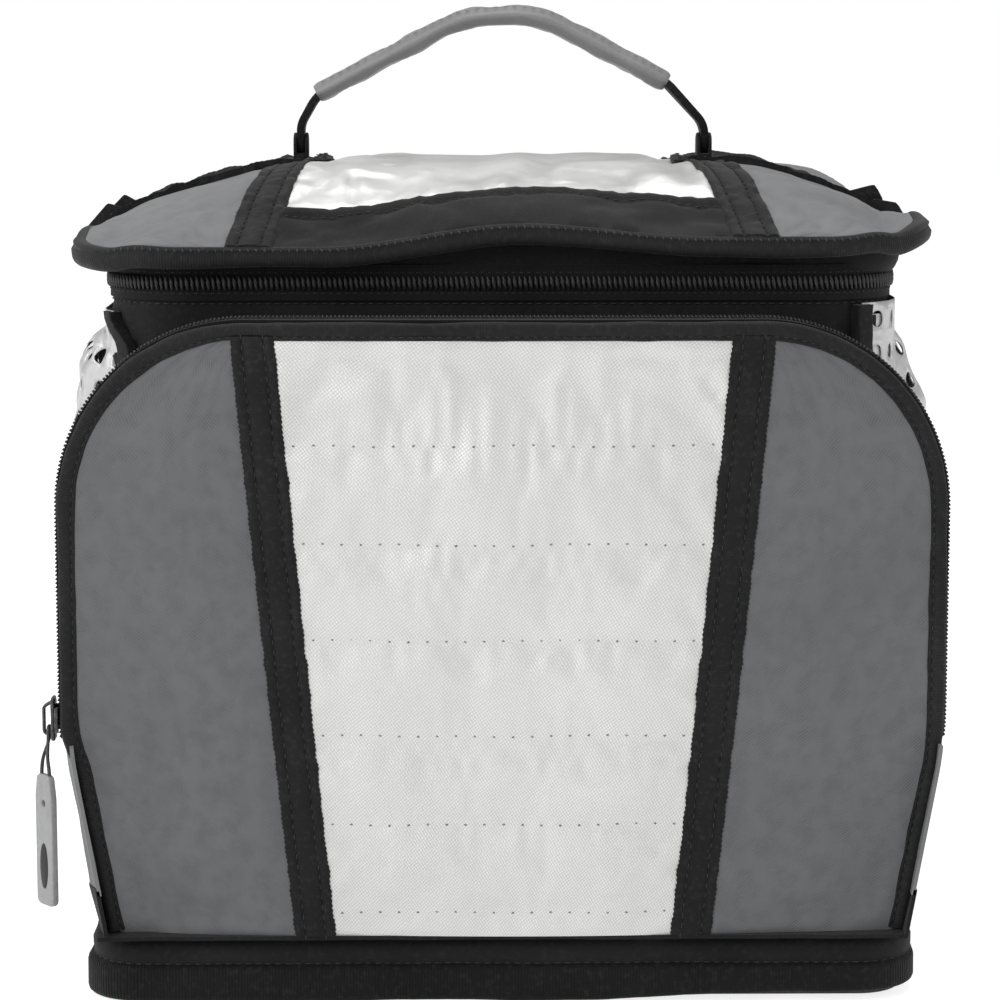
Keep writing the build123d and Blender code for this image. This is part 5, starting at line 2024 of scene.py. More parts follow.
    def build_zip(self) -> None:
        """The zip round the pocket's mouth."""
        line, out = self.path(1.2, 1.5, self.knee + 0.2)
        path, side = upright(line, -self.mouth), upright(out)
        nodes = ("pocket_zip_tape", "pocket_zip_coil")
        ZipHalf(self.kit, "pocket_zip_rear", "carrier", -1, nodes, self.zip_size).build(path, side, AHEAD)
        crown = -self.surface(line[:, 0], line[:, 1], -2.6)[:, 1] - self.mouth
        wide = ZipSize((10.0, 1.2), self.zip_size.tooth, self.zip_size.pitch)
        nodes = ("flap_zip_tape", "flap_zip_coil")
        front = ZipHalf(self.kit, "pocket_zip_front", "pocket_flap", 1, nodes, wide)
        front.build(path, side, AHEAD, edge=np.maximum(crown, 1.5))


# ---------------------------------------------------------------- side pockets
@dataclass
class SidePockets(Part):
    """The punched silver film pockets on both sides, gathered by an elastic."""

    wall: float = 128.0
    out: float = 9.0
    root: tuple[float, float] = (115.9, -70.9)
    front: float = -64.0
    rear: float = 60.0
    low: float = 24.0
    high: float = 223.0
    elastic_z: float = 216.0
    across: float = 100.0
    back: float = -47.0
    radius: float = 28.0
    wide: float = 140.0
    pitch: float = 11.0
    hole: float = 2.7
    thick: float = 0.45
    grid: tuple[int, int] = (46, 60)

    def line(self) -> Array:
        """The film's line seen from above, from the body out and back, on the right side.

        Returns:
            The line's points.
        """
        corners = [self.root, (self.wall + self.out, self.front + 15), (self.wall + self.out, self.rear - 1.5),
                   (self.wall + 0.4, self.rear)]
        return rounded_path(corners, [0, 12, 8, 0], 1.5)

    def start(self, z: Array, way: int) -> Array:
        """How far out the film's front edge is sewn at a height: just outside the front pocket's wall.

        Args:
            z: The heights.
            way: -1 on the left and 1 on the right.

        Returns:
            The edge's distances from the middle.
        """
        wall = np.where(z > 86, 125.0, 125.0 - (86 - z) * 0.177)
        arc = 81 + np.sqrt(np.clip(44.0**2 - np.clip(z - 161, 0, 44) ** 2, 0, None))
        least = 120.2 + 5.2 * smooth_step(z, 207, 219) if way < 0 else self.root[0]
        return np.maximum(least, np.minimum(wall, arc) + 0.4)

    def behind(self, y: Array) -> Array:
        """How far out the body's wall stands behind the film."""
        return self.across + np.sqrt(np.clip(self.radius**2 - np.clip(self.back - y, 0, self.radius) ** 2, 0, None))

    def spots(self, u: Array, z: Array, way: int, moves: Array | None) -> Array:
        """Places on the film.

        Args:
            u: The share of the film's line.
            z: The height.
            way: -1 on the left and 1 on the right.
            moves: The settled cloth's moves, where it has settled.

        Returns:
            The places.
        """
        line = self.line()
        along = tangents(line)
        share = np.linspace(0, 1, len(line))
        first = np.interp(self.start(z, way), line[: len(line) // 5, 0], share[: len(line) // 5])
        run = first + (1 - first) * u
        x, y, ahead, aside = (np.interp(run, share, values) for values in (*line.T, *along.T))
        middle = np.sin(np.clip(u, 0, 1) * math.pi)
        tuck = -(x - self.wall) * 0.45 * (1 - smooth_step(z, self.low, self.low + 55))
        tuck = tuck + 1.4 * middle * np.sin(np.clip((z - self.low) / (self.high - self.low), 0, 1) * math.pi)
        flat = np.stack([u * self.wide, z, np.full_like(u, 9.0 * way)], -1)
        crush = (1.5 * crumple(flat, 46, 71 + way) + 0.9 * ruffle(flat, 60, 73 + way)) * np.clip(middle * 2.2, 0, 1)
        crush = crush * smooth_step(z, self.low, self.low + 14) * smooth_step(u, 0.02, 0.09)
        near = smooth_step(z, self.elastic_z - 26, self.elastic_z)
        gather = 0.8 * np.sin(u * 90 + 2 * ruffle(flat, 40, 75, 1)) * near
        gather = gather - 2.2 * np.exp(-(((z - self.elastic_z) / 5) ** 2)) + 0.6 * crumple(flat, 20, 76) * near
        push = tuck + crush + gather * np.clip(middle * 3, 0, 1)
        spots = np.stack([x + aside * push, y - ahead * push, z], axis=-1)
        hung = 1 - 0.93 * smooth_step(z, 204 if way < 0 else 180, self.high - 1)
        rest = self.behind(spots[..., 1])
        spots[..., 0] = rest + (spots[..., 0] - rest) * hung
        if moves is not None:
            spots = spots + read_grid(moves, (0, self.low), (1, self.high), u, z) * smooth_step(u, 0, 0.05)[..., None]
        spots[..., 0] = way * np.maximum(spots[..., 0], self.behind(spots[..., 1]) + 2.4)
        spots[..., 2] -= (way < 0) * 3.2 * smooth_step(z, 170, self.high)
        return spots

    def cloth(self) -> Cloth:
        """The film as one sheet held at its sides, foot and elastic.

        Returns:
            The sheet.
        """
        levels = np.linspace(self.low, self.high, self.grid[1])
        u, z = np.meshgrid(np.linspace(0, 1, self.grid[0]), levels, indexing="ij")
        held = ((u < 0.02) | (u > 0.98) | (z < self.low + 2) | (z > self.elastic_z - 3)).astype(float)
        return Cloth("side film", self.spots(u, z, 1, None), held, 0.05, 1.2, 3.2)

    def build(self) -> None:
        """Makes both pockets, their elastics and seams and the film layer behind them."""
        elastic, backs = Shell(), Shell()
        for name, way in (("left", -1), ("right", 1)):
            self.build_film(name, way)
            self.build_elastic(elastic, way)
            self.build_seams(elastic, way)
            self.build_back(backs, way)
        self.put(elastic, "side_elastics", "webbing", "carrier", "black_webbing", "side_pocket_elastics")
        self.put(backs, "side_pocket_backs", "silver film", "carrier", "silver_film", sharp=60)

    def build_film(self, name: str, way: int) -> None:
        """One side's punched film.

        Args:
            name: The side's name.
            way: -1 on the left and 1 on the right.
        """
        size = (self.wide, self.high - self.low)
        finish = self.kit.finishes["silver film"]
        moves = self.kit.moves["side film"][::-way]
        film = self.kit.punch.sheet(f"side_film_{name}", size, self.pitch, self.hole, finish)
        shift_points(film, lambda flat: self.spots(flat[:, 0] / size[0], flat[:, 1] + self.low, way, moves))
        solid = film.modifiers.new("film", "SOLIDIFY")
        solid.thickness = self.thick * MM
        solid.offset = 0
        film = baked(film, f"side_film_{name}", finish, sharp=180)
        self.place(film, "carrier", "silver_film", f"side_pocket_{name}")

    def build_elastic(self, strips: Shell, way: int) -> None:
        """Adds one side's elastic, which lies in the film's gathers.

        Args:
            strips: What it is added to.
            way: -1 on the left and 1 on the right.
        """
        path = self.spots(np.linspace(0.0, 1.0, 150), np.full(150, self.elastic_z), way, None)
        path[:, 0] = way * np.maximum(np.abs(path[:, 0] - way * 1.2), self.behind(path[:, 1]) + 0.6)
        side = unit(np.cross(unit(np.gradient(path, axis=0)), UP)) * way
        strips.sweep(path, side, UP, round_section(0.7, 6.0, 0.3))

    def build_seams(self, strips: Shell, way: int) -> None:
        """Adds the strips sewn over one side's front and rear edges.

        Args:
            strips: What they are added to.
            way: -1 on the left and 1 on the right.
        """
        flip = np.array([way, 1, 1])
        for rear in (False, True):
            z = np.linspace(self.low + 1, self.high - (0.5 if way > 0 else 3.4), 80)
            slope = z * 0 if rear else np.arccos((self.start(z, way) - self.across) / self.radius)
            out = np.column_stack([np.cos(slope), -np.sin(slope), z * 0])
            side = np.column_stack([-out[:, 1], out[:, 0], z * 0])
            middle = np.array([self.across, self.back, 0]) + out * self.radius
            at = np.array([self.wall, self.rear + 1.0, 0]) if rear else middle
            wobble = 0.4 * ruffle(np.column_stack([z, z * 0 + 50 * rear]), 26, 77 + way)
            path = at + out * 2.1 + np.outer(z, UP) + side * wobble[:, None]
            strips.sweep(path * flip, side * flip, out * flip, round_section(6.2, 4.2, 0.6))

    def build_back(self, backs: Shell, way: int) -> None:
        """Adds one side's film layer on the wall.

        Args:
            backs: What it is added to.
            way: -1 on the left and 1 on the right.
        """
        z = np.linspace(self.low, self.high - 4, 40)
        first = self.back - np.sqrt(self.radius**2 - (self.start(z, way) - self.across) ** 2)
        share = np.linspace(0, 1, 60)[:, None]
        y = first * (1 - share) + self.rear * share
        wall = np.stack([way * (self.behind(y) + 1.7), y, np.broadcast_to(z, y.shape)], -1)
        backs.sheet(wall, wall - np.array([way * 0.4, 0, 0]), share[:, 0] * 130, z)


# ---------------------------------------------------------------- lid
@dataclass
class Lid(Face):
    """The domed lid with its foil middle, straps, rolled edge and lining."""

    strap_ends: tuple[tuple[float, float], tuple[float, float]] = ((62.0, 75.5), (73.5, 88.9))
    run_ends: tuple[float, float] = (15.0, -87.0)
    out: Array = field(default_factory=UP.copy)
    width: float = 280.0
    depth: float = 204.0
    radius: float = 36.0
    edge_z: float = 242.0
    rise: float = 25.0
    ridge_half: float = 62.0
    arcs: tuple[float, float] = (220.58, 286.3)
    soft: float = 0.16
    band: float = 29.0
    zip_z: float = 230.15
    cloth_t: float = 1.1
    swell: tuple[float, float] = (0.6, 1.1)
    tabs: tuple[tuple[float, tuple[tuple[float, float], ...]], ...] = (
        (95.5, ((-149.5, 238.5), (-140, 235.5), (-133, 238), (-130.5, 246.5), (-138, 250.5))),
        (89.0, ((-152, 238), (-142, 235.5), (-135, 237), (-133.5, 244.5), (-143.5, 247.5))),
        (94.0, ((131, 241), (142, 239), (144.5, 249), (142, 254), (131.5, 251.5))),
        (89.0, ((139, 238.5), (149, 237.5), (152, 243), (149.5, 247.5), (140.5, 249))),
    )
    grid: tuple[int, int] = (90, 66)
    strap: Webbing = Webbing((0.3, 1.1, 1.35, 1.35, 0.75, 1.35, 1.4), (0, 0.04, 0.1, 0.2, 0.26, 0.32, 0.5),
                             (0.22, 0.1), (0.2, 22), 84, 14, 0.15, 0.3, 1.05)
    fold: tuple[tuple[float, float], ...] = (
        (0.0, 0.1), (0.3, 1.3), (1.4, 1.9), (3.0, 2.0), (4.6, 1.8), (5.6, 1.1), (6.4, 0.75), (8, 1.2), (10, 1.15),
        (13, 1.0), (16, 0.9), (19, 0.8), (22, 0.8), (25, 0.7), (29.6, 0.4))

    def __post_init__(self) -> None:
        """Names the middle and the front of its depth."""
        self.middle, self.front = self.run_ends
        self.rear = 2 * self.middle - self.front

    def height(self, x: Array, y: Array) -> Array:
        """The dome's height above the ground.

        Args:
            x: Places across the lid.
            y: Places along it.

        Returns:
            The heights.
        """
        across, arc = np.abs(x), np.where(y < 0, *self.arcs)
        fall = (self.width / 2 - across) / (self.width / 2 - self.ridge_half)
        fall = 0.95 * (fall + np.where(x < 0, *self.swell) * fall * (1 - fall))
        ridge = np.where(across < self.ridge_half, 1 - 0.05 * (across / self.ridge_half) ** 2, fall)
        slope = (np.sqrt(np.clip(arc**2 - y**2, 0, None)) - (arc - self.rise)) / self.rise
        share = np.clip(0.5 + 0.5 * (slope - ridge) / self.soft, 0, 1)
        dome = slope * (1 - share) + ridge * share - self.soft * share * (1 - share)
        return self.edge_z + self.rise * dome

    def droop(self, x: Array, y: Array) -> Array:
        """How far the front edge sags towards its ends and three corners are lifted.

        Args:
            x: Places across the lid.
            y: Places along it.

        Returns:
            The shifts in height.
        """
        edge = 7.4 * smooth_step(x, -58, 6) - 8.6 - 4.2 * smooth_step(x, 8, 66)
        corner = (5.0 * smooth_step(-x, 122, 139) + 9.5 * smooth_step(x, 124, 140)) * smooth_step(-y, 0, 42)
        rear = 4.5 * np.exp(-(((x - 120) / 24) ** 2)) * smooth_step(y - self.middle, 10, 75)
        return edge * smooth_step(-y, 5, 87) + rear + corner

    def top(self, x: Array, y: Array) -> Array:
        """The height of the drooping lid's top above the ground."""
        return self.height(x, y) + self.droop(x, y)

    def surface(self, x: Array, run: Array, lift: float | Array = 0.0) -> Array:
        """Places on the lid's top at a lift above it, with the settled cloth's unevenness.

        Args:
            x: Their X.
            run: Their Y.
            lift: How far they lie above the top.

        Returns:
            The places.
        """
        spots = np.stack([x, run, self.top(x, run) + lift], axis=-1)
        if self.settled is not None:
            low, high = (-self.width / 2, self.front), (self.width / 2, self.rear)
            spots = spots + read_grid(self.settled, low, high, x, run)
        return spots

    def edge(self, y: Array, inset: float) -> Array:
        """How far from the middle the inset outline lies.

        Args:
            y: Places along the lid.
            inset: How far the outline is drawn inward.

        Returns:
            The distances.
        """
        run = np.clip(np.abs(y - self.middle) - self.depth / 2 + self.radius, 0, None)
        reach = np.sqrt(np.clip((self.radius - inset) ** 2 - run**2, 0, None))
        return self.width / 2 - self.radius + reach

    def depths(self, inset: float, step: float) -> Array:
        """Places from front to rear for a panel's rows, closer together round the corners.

        Args:
            inset: How far the panel's edge is drawn inward.
            step: The spacing of its straight rows.

        Returns:
            The places.
        """
        bend = self.depth / 2 - self.radius
        angle = np.linspace(0, math.pi / 2, int(self.radius * 1.7 / step))
        arc = bend + (self.radius - inset) * np.sin(angle)
        return self.middle + np.concatenate([-arc[::-1], np.arange(-bend + step, bend - 0.5 * step, step), arc])

    def mesh_grid(self) -> tuple[Array, Array]:
        """The settled top's grid in X and Y.

        Returns:
            The grid.
        """
        x = np.linspace(-self.width / 2, self.width / 2, self.grid[0])
        y = self.middle + np.linspace(-self.depth / 2, self.depth / 2, self.grid[1])
        return tuple(np.meshgrid(x, y, indexing="ij"))

    def cloth(self) -> Cloth:
        """The lid's top as one sheet, held at its edge and along the straps and seams.

        Returns:
            The sheet.
        """
        x, y = self.mesh_grid()
        across, run = np.abs(x), np.abs(y - self.middle)
        inner, outer = self.strap_edge(False, y), self.strap_edge(True, y)
        held = ((across > self.edge(y, 7)) | (run > 96)).astype(float)
        held = np.maximum(held, 0.9 * ((across > inner + 1) & (across < outer - 1)))
        held = np.maximum(held, 0.9 * ((run < 11) & (across > outer)))
        held = np.maximum(held, 0.6 * (np.abs(y - self.front - self.band) < 3))
        return Cloth("lid top", self.surface(x, y), held, 0.02, 2.0, 2.2)

    def build(self) -> None:
        """Makes the lid's pieces from the settled top."""
        x, y = self.mesh_grid()
        inner = self.strap_edge(False, y)
        inside = smooth_step(self.edge(y, 0) - np.abs(x), 3, 20)
        behind = smooth_step(y, self.front + self.band + 2, self.front + self.band + 16)
        flat = np.stack([x, y], -1)
        fold = 0.8 * crumple(flat, 62, 81) * behind * (np.abs(x) < inner) * inside
        swell = 0.7 * ruffle(flat, 95, 82, 2) * inside
        near = np.exp(-(((np.abs(x) - inner + 7) / 5) ** 2)) * behind
        self.settled = self.kit.moves["lid top"] + (fold + swell - 1.1 * near * inside)[..., None] * UP
        self.build_foil()
        self.build_fold()
        self.build_sides()
        self.build_straps()
        self.build_ridge_strap()
        self.build_edge()
        self.build_skirt()
        self.build_lining()
        self.build_tabs()

    def bound(self, x: Array, y: Array) -> Array:
        """How far forward the front band's bound edge is drawn towards the straps."""
        return -np.where(x < 0, 7.5, 4.5) * (x / 78) ** 2 * np.clip((y - self.front) / self.band, 0, 1)

    def build_foil(self) -> None:
        """The foil middle behind the front band."""
        y = np.arange(self.front + self.band - 13, self.rear - 2.2, 1.7)
        seam = self.seam(y)
        foil = self.panel(-seam, seam, y, 86, 0, self.cloth_t)
        foil = foil.piece("lid_foil_panel", self.kit.finishes["lid foil"], sharp=60)
        self.place(foil, "lid", "silver_fabric", "lid_silver")

    def build_fold(self) -> None:
        """The black front band with its folded, bound edge."""
        columns = 80
        run, lift = np.array(self.fold)[::-1].T
        y = self.front + self.band + 1.5 - run
        inner, seam = self.strap_edge(False, y), self.seam(y)
        places = np.stack(np.meshgrid(y, np.linspace(-80, 80, columns), indexing="ij"), -1)
        lift = lift[:, None] * (1 + 0.16 * ruffle(places, 30, 83, 2))
        across = np.abs(seam[:, None] * np.linspace(-1, 1, columns))
        lift = 0.1 + (lift - 0.1) * smooth_step(inner[:, None] + 2.4 - across, 0, 1.6)
        band = self.panel(-seam, seam, y, columns, lift, 1.0, self.bound)
        self.put(band, "lid_front_fold", "black fabric", "lid", "black_fabric", "lid_front_band", sharp=60)
        reach = float(seam[-3]) - 8
        x = np.linspace(-reach, reach, 90)
        run = np.full(90, self.front + self.band - 4.1)
        line = self.surface(x, run + self.bound(x, run), 1.15)
        self.sew("lid_fold_stitches", [(line, np.array([0, -0.35, 0.94]))], 3.0, (2.3, 0.5, 0.45), "lid")

    def build_sides(self) -> None:
        """The grey sides."""
        y = self.depths(3.2, 2.6)
        seam = self.seam(y)
        rim = np.maximum(self.edge(y, 3.2), seam + 0.4)
        for name, way in (("left", -1), ("right", 1)):
            grey = self.panel(way * seam, way * rim, y, 26, 0, self.cloth_t)
            # the lid's sides use the grey fabric's lighter copy, painted light
            self.put(grey, f"lid_side_{name}", "lid grey fabric", "lid", "grey_fabric", f"lid_grey_{name}", sharp=60)

    def build_straps(self) -> None:
        """The two lengthwise straps with their grooves and stitching."""
        shell, lines = self.straps(np.arange(self.front + 1.6, self.rear - 1.6, 0.9), self.strap)
        self.put(shell, "lid_webbing", "webbing", "lid", "black_webbing", "lid_straps", sharp=60)
        self.sew("lid_strap_stitches", lines, 3.3, (2.3, 0.5, 0.5), "lid", "black_webbing")

    def build_ridge_strap(self) -> None:
        """The cross strap over the ridge, outside the lengthwise straps."""
        cross = Shell()
        share = np.linspace(0, 1, 15)
        start = float(self.strap_edge(False, np.array([self.middle]))[0]) + 2.0
        x = np.linspace(start, self.width / 2 - 3.4, 80)[:, None]
        for way in (-1, 1):
            rough = 0.25 * ruffle(x * way, 12, 86, 2)[:, None]
            rough = 0.35 * np.abs(np.sin(np.arange(80) * math.pi / 2))[:, None] + rough
            y = self.middle + (share[None] * 2 - 1) * (12.5 + rough)
            grid = np.broadcast_to(way * x, y.shape)
            lift = 2.1 + 1.0 * np.abs(share * 2 - 1) ** 6 + 0.35 * ruffle(np.stack([grid, y], -1), 16, 87, 2)
            lift = lift * smooth_step(x, start - 1, start + 3)
            cross.sheet(self.surface(grid, y, lift), self.surface(grid, y, 0.1), x[:, 0], share * 25)
        self.put(cross, "lid_ridge_strap", "webbing", "lid", "black_webbing", "lid_cross_strap", sharp=60)

    def build_edge(self) -> None:
        """The rolled tape round the lid's edge."""
        line, away = box_loop(self.width - 4.4, self.depth - 4.4, self.radius - 2.2, self.middle, 1.5)
        side = raised(away, 0)
        left_front = smooth_step(-line[:, 0], 0, 9) * smooth_step(-line[:, 1], 46, 70)
        corner = smooth_step(np.abs(line[:, 0]), 112, 138) * (np.where(line[:, 0] < 0, 0.4, 1.0) + 1.35 * left_front)
        tall = 6.8 + corner + 0.4 * ruffle(line, 70, 88, 2)
        path = raised(line, self.top(*line.T) + 0.7 - tall / 2)
        roll = Shell().sweep(path, side, UP, self.rolled(tall, path), closed=True)
        self.put(roll, "lid_rolled_edge", "binding tape", "lid", "black_fabric", "lid_edge_binding")
        seam = path + UP * (tall[:, None] / 2 - 1.0) + side * 1.9
        self.sew("lid_edge_stitches", [(seam, unit(side + UP * 0.9))], 2.6, (0.75, 1.9, 0.5), "lid", slant=24,
                 unevenness=5, closed=True)

    @staticmethod
    def rolled(tall: Array, path: Array) -> Array:
        """The rolled edge's section at each point, with a groove where it is sewn.

        Args:
            tall: The roll's height at each point.
            path: The points.

        Returns:
            The sections.
        """
        wide, square = superellipse(4.7, 2.0, (0.8, 0.8), 18).T
        groove = 0.55 * np.exp(-(((square - 0.42) / 0.13) ** 2)) * (wide > 0)
        sway = 0.22 * ruffle(path, 26, 89)
        corner = 1 + 0.5 * smooth_step(np.abs(path[:, 0]), 118, 136) * smooth_step(-path[:, 1], 30, 60)
        across = (wide - groove)[None] * (1 + 0.5 * sway[:, None] * (wide > 0)) * corner[:, None]
        return np.stack([across, square[None] * tall[:, None] / 2], axis=-1)

    def build_skirt(self) -> None:
        """The facing under the rim and the skirt from it down to the zip."""
        inner, out = Body(self.kit).loop(-0.7, 4)
        ring = box_loop(self.width - 6.4, self.depth - 6.4, self.radius - 3.2, self.middle, 4)[0]
        share = np.linspace(0, 1, 6)[:, None]
        flat = inner[:, None, :2] * (1 - share) + self.match(inner, ring)[:, None] * share
        front = np.concatenate([flat, self.top(flat[..., 0], flat[..., 1])[..., None] - 2.2], -1)
        u = np.arange(len(inner) + 1) * 4.0
        facing = Shell().sheet(front, front - UP * 1.2, u, share[:, 0] * 12, wrap=True)
        self.put(facing, "lid_rim_facing", "black fabric", "lid", "black_fabric", "lid_facing")
        level = np.linspace(0, 1, 9)
        foot = self.zip_z + 0.1
        high = self.top(inner[:, 0], inner[:, 1])[:, None] - 2.6
        z = foot + (high - foot) * level
        wall = np.concatenate([np.broadcast_to(inner[:, None, :2], (*z.shape, 2)), z[..., None]], -1)
        arch = np.sin(level * math.pi)
        sway = 0.35 * ruffle(wall, 40, 90) * arch
        bulge = 2.4 * arch * smooth_step(np.abs(wall[..., 0]), 105, 127) * np.where(wall[..., 0] > 0, 1.6, 1)
        wall = wall + out[:, None] * (sway + bulge + 0.6)[..., None]
        skirt = Shell().sheet(wall, wall - out[:, None] * 1.2, u, level * 12, wrap=True)
        self.put(skirt, "lid_side_wall", "black fabric", "lid", "black_fabric", "lid_skirt")

    def build_lining(self) -> None:
        """The foil lining and the padding between it and the lid's top."""
        rim, _ = Body(self.kit).loop(-1.5, 4)
        shares = np.concatenate([[1, 0.985], np.linspace(0.95, 0, 18)])
        centre = np.array([0, self.middle])
        flat = centre + (rim[:, None, :2] - centre) * shares[:, None]
        x, y = flat[..., 0], flat[..., 1]
        low = self.height(x, y) - 10.2 - 0.7 * crumple(flat, 44, 91) * smooth_step(1 - shares, 0, 0.1)
        top = self.top(x, y) - 3.2
        low = np.maximum(np.minimum(low, top - 2.4), self.zip_z + 0.6)
        top = np.maximum(top, low + 1.2)
        levels = (low, top, np.minimum(low + 1.2, top - 0.3))
        foil, over, under = (np.concatenate([flat, z[..., None]], -1) for z in levels)
        u, v = np.arange(len(rim) + 1) * 4.0, shares * 120
        self.put(Shell().sheet(foil, foil + UP * 0.5, u, v, wrap=True), "lid_foil_lining", "liner foil", "lid",
                 "liner_foil", "lid_liner", sharp=180)
        self.put(Shell().sheet(over, under, u, v, wrap=True), "lid_padding", "foam", "lid", "foam", "lid_foam")

    @staticmethod
    def match(inner: Array, outer: Array) -> Array:
        """Points of the outer loop at the inner loop's shares and in the same number.

        Args:
            inner: The inner loop.
            outer: The outer loop.

        Returns:
            The points.
        """
        around = np.linspace(0, 1, len(inner), endpoint=False)
        loop = np.vstack([outer, outer[:1]])
        at = np.linspace(0, 1, len(loop))
        return np.stack([np.interp(around, at, loop[:, axis]) for axis in range(2)], axis=1)

    def build_tabs(self) -> None:
        """The folded cloth ends that stand out at the two rear corners."""
        parts = []
        for number, (depth_at, outline) in enumerate(self.tabs):
            fine = rounded_path(outline, [1.0] * len(outline), 1.0, closed=True)
            foot = fine[:, 1].min()
            for layer in (0, 1):

                def bent(flat: Array, depth: float, layer: int = layer, foot: float = foot,
                         at: float = depth_at) -> Array:
                    """Places on one bent layer of a fold.

                    Args:
                        flat: Points in X and Z.
                        depth: How far behind the layer's face they lie.
                        layer: Which layer it is.
                        foot: The height of the fold's lowest point.
                        at: The Y of the fold.

                    Returns:
                        The places.
                    """
                    share = (flat[:, 1] - foot) / 18
                    wave = 0.9 * np.sin(flat[:, 0] * 0.45 + share * 2 + layer) * share
                    y = at + depth + wave + (2 * layer - 1) * (0.8 + 0.9 * share)
                    return np.column_stack([flat[:, 0] + (layer - 0.5) * 0.9, y, flat[:, 1] - 1.2 * layer * share])

                parts.append(self.plate(f"tab_{number}_{layer}", fine, bent, (-0.6, 0.6), 0.3, "webbing"))
        self.place(joined(parts), "lid", "black_fabric", "corner_tabs")


@dataclass
class LidZip(Part):
    """The zip between the body and the lid, with its slider on the left."""

    level: float = 230.0
    rear_end: float = 77.0
    size: ZipSize = ZipSize((5.6, 0.8), (1.15, 2.7, 1.5), 1.7, 1.6)

    def build(self) -> None:
        """Makes both halves and the slider."""
        seam, out = Body(self.kit).loop(0, 1.5)
        keep = seam[:, 1] <= self.rear_end
        for name, rider, way, end in (("under", "carrier", -1, "lower"), ("over", "lid", 1, "upper")):
            nodes = (f"lid_zip_tape_{end}", f"lid_zip_coil_{end}")
            half = ZipHalf(self.kit, f"lid_zip_{name}", rider, way, nodes, self.size)
            half.build(raised(seam[keep], self.level), out[keep], UP)
        SliderSet(self.kit, "lid", (60.0, self.level), 131.7, True, (5.2, 20.0), (6.4, 26.0)).build()


@dataclass
class Hinge(Part):
    """The cloth that joins the lid to the rear wall."""

    half: float = 100.0
    rear: float = 105.0
    low: float = 225.8
    high: float = 234.2

    def build(self) -> None:
        """Makes the strip at the top of the rear wall and its stitches."""
        x, z = np.linspace(-self.half, self.half, 70), np.linspace(self.low, self.high, 13)
        flat = np.stack(np.meshgrid(x, z, indexing="ij"), -1)
        bulge = 0.5 + 0.75 * np.sin((flat[..., 1] - self.low) / (self.high - self.low) * math.pi)
        y = self.rear + bulge + 0.18 * ruffle(flat, 24, 95, 2)
        front = np.stack([flat[..., 0], y, flat[..., 1]], -1)
        shell = Shell().sheet(front, front + AHEAD * 0.9, x, z)
        strip = shell.piece("hinge_strip", self.kit.finishes["binding tape"], sharp=60)
        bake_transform(strip)
        line = np.column_stack([x, np.full(70, self.rear + 1.0), np.full(70, self.low + 1.2)])
        self.sew("hinge_stitches", [(line, -AHEAD)], 3.0, (2.2, 0.5, 0.4), "carrier")


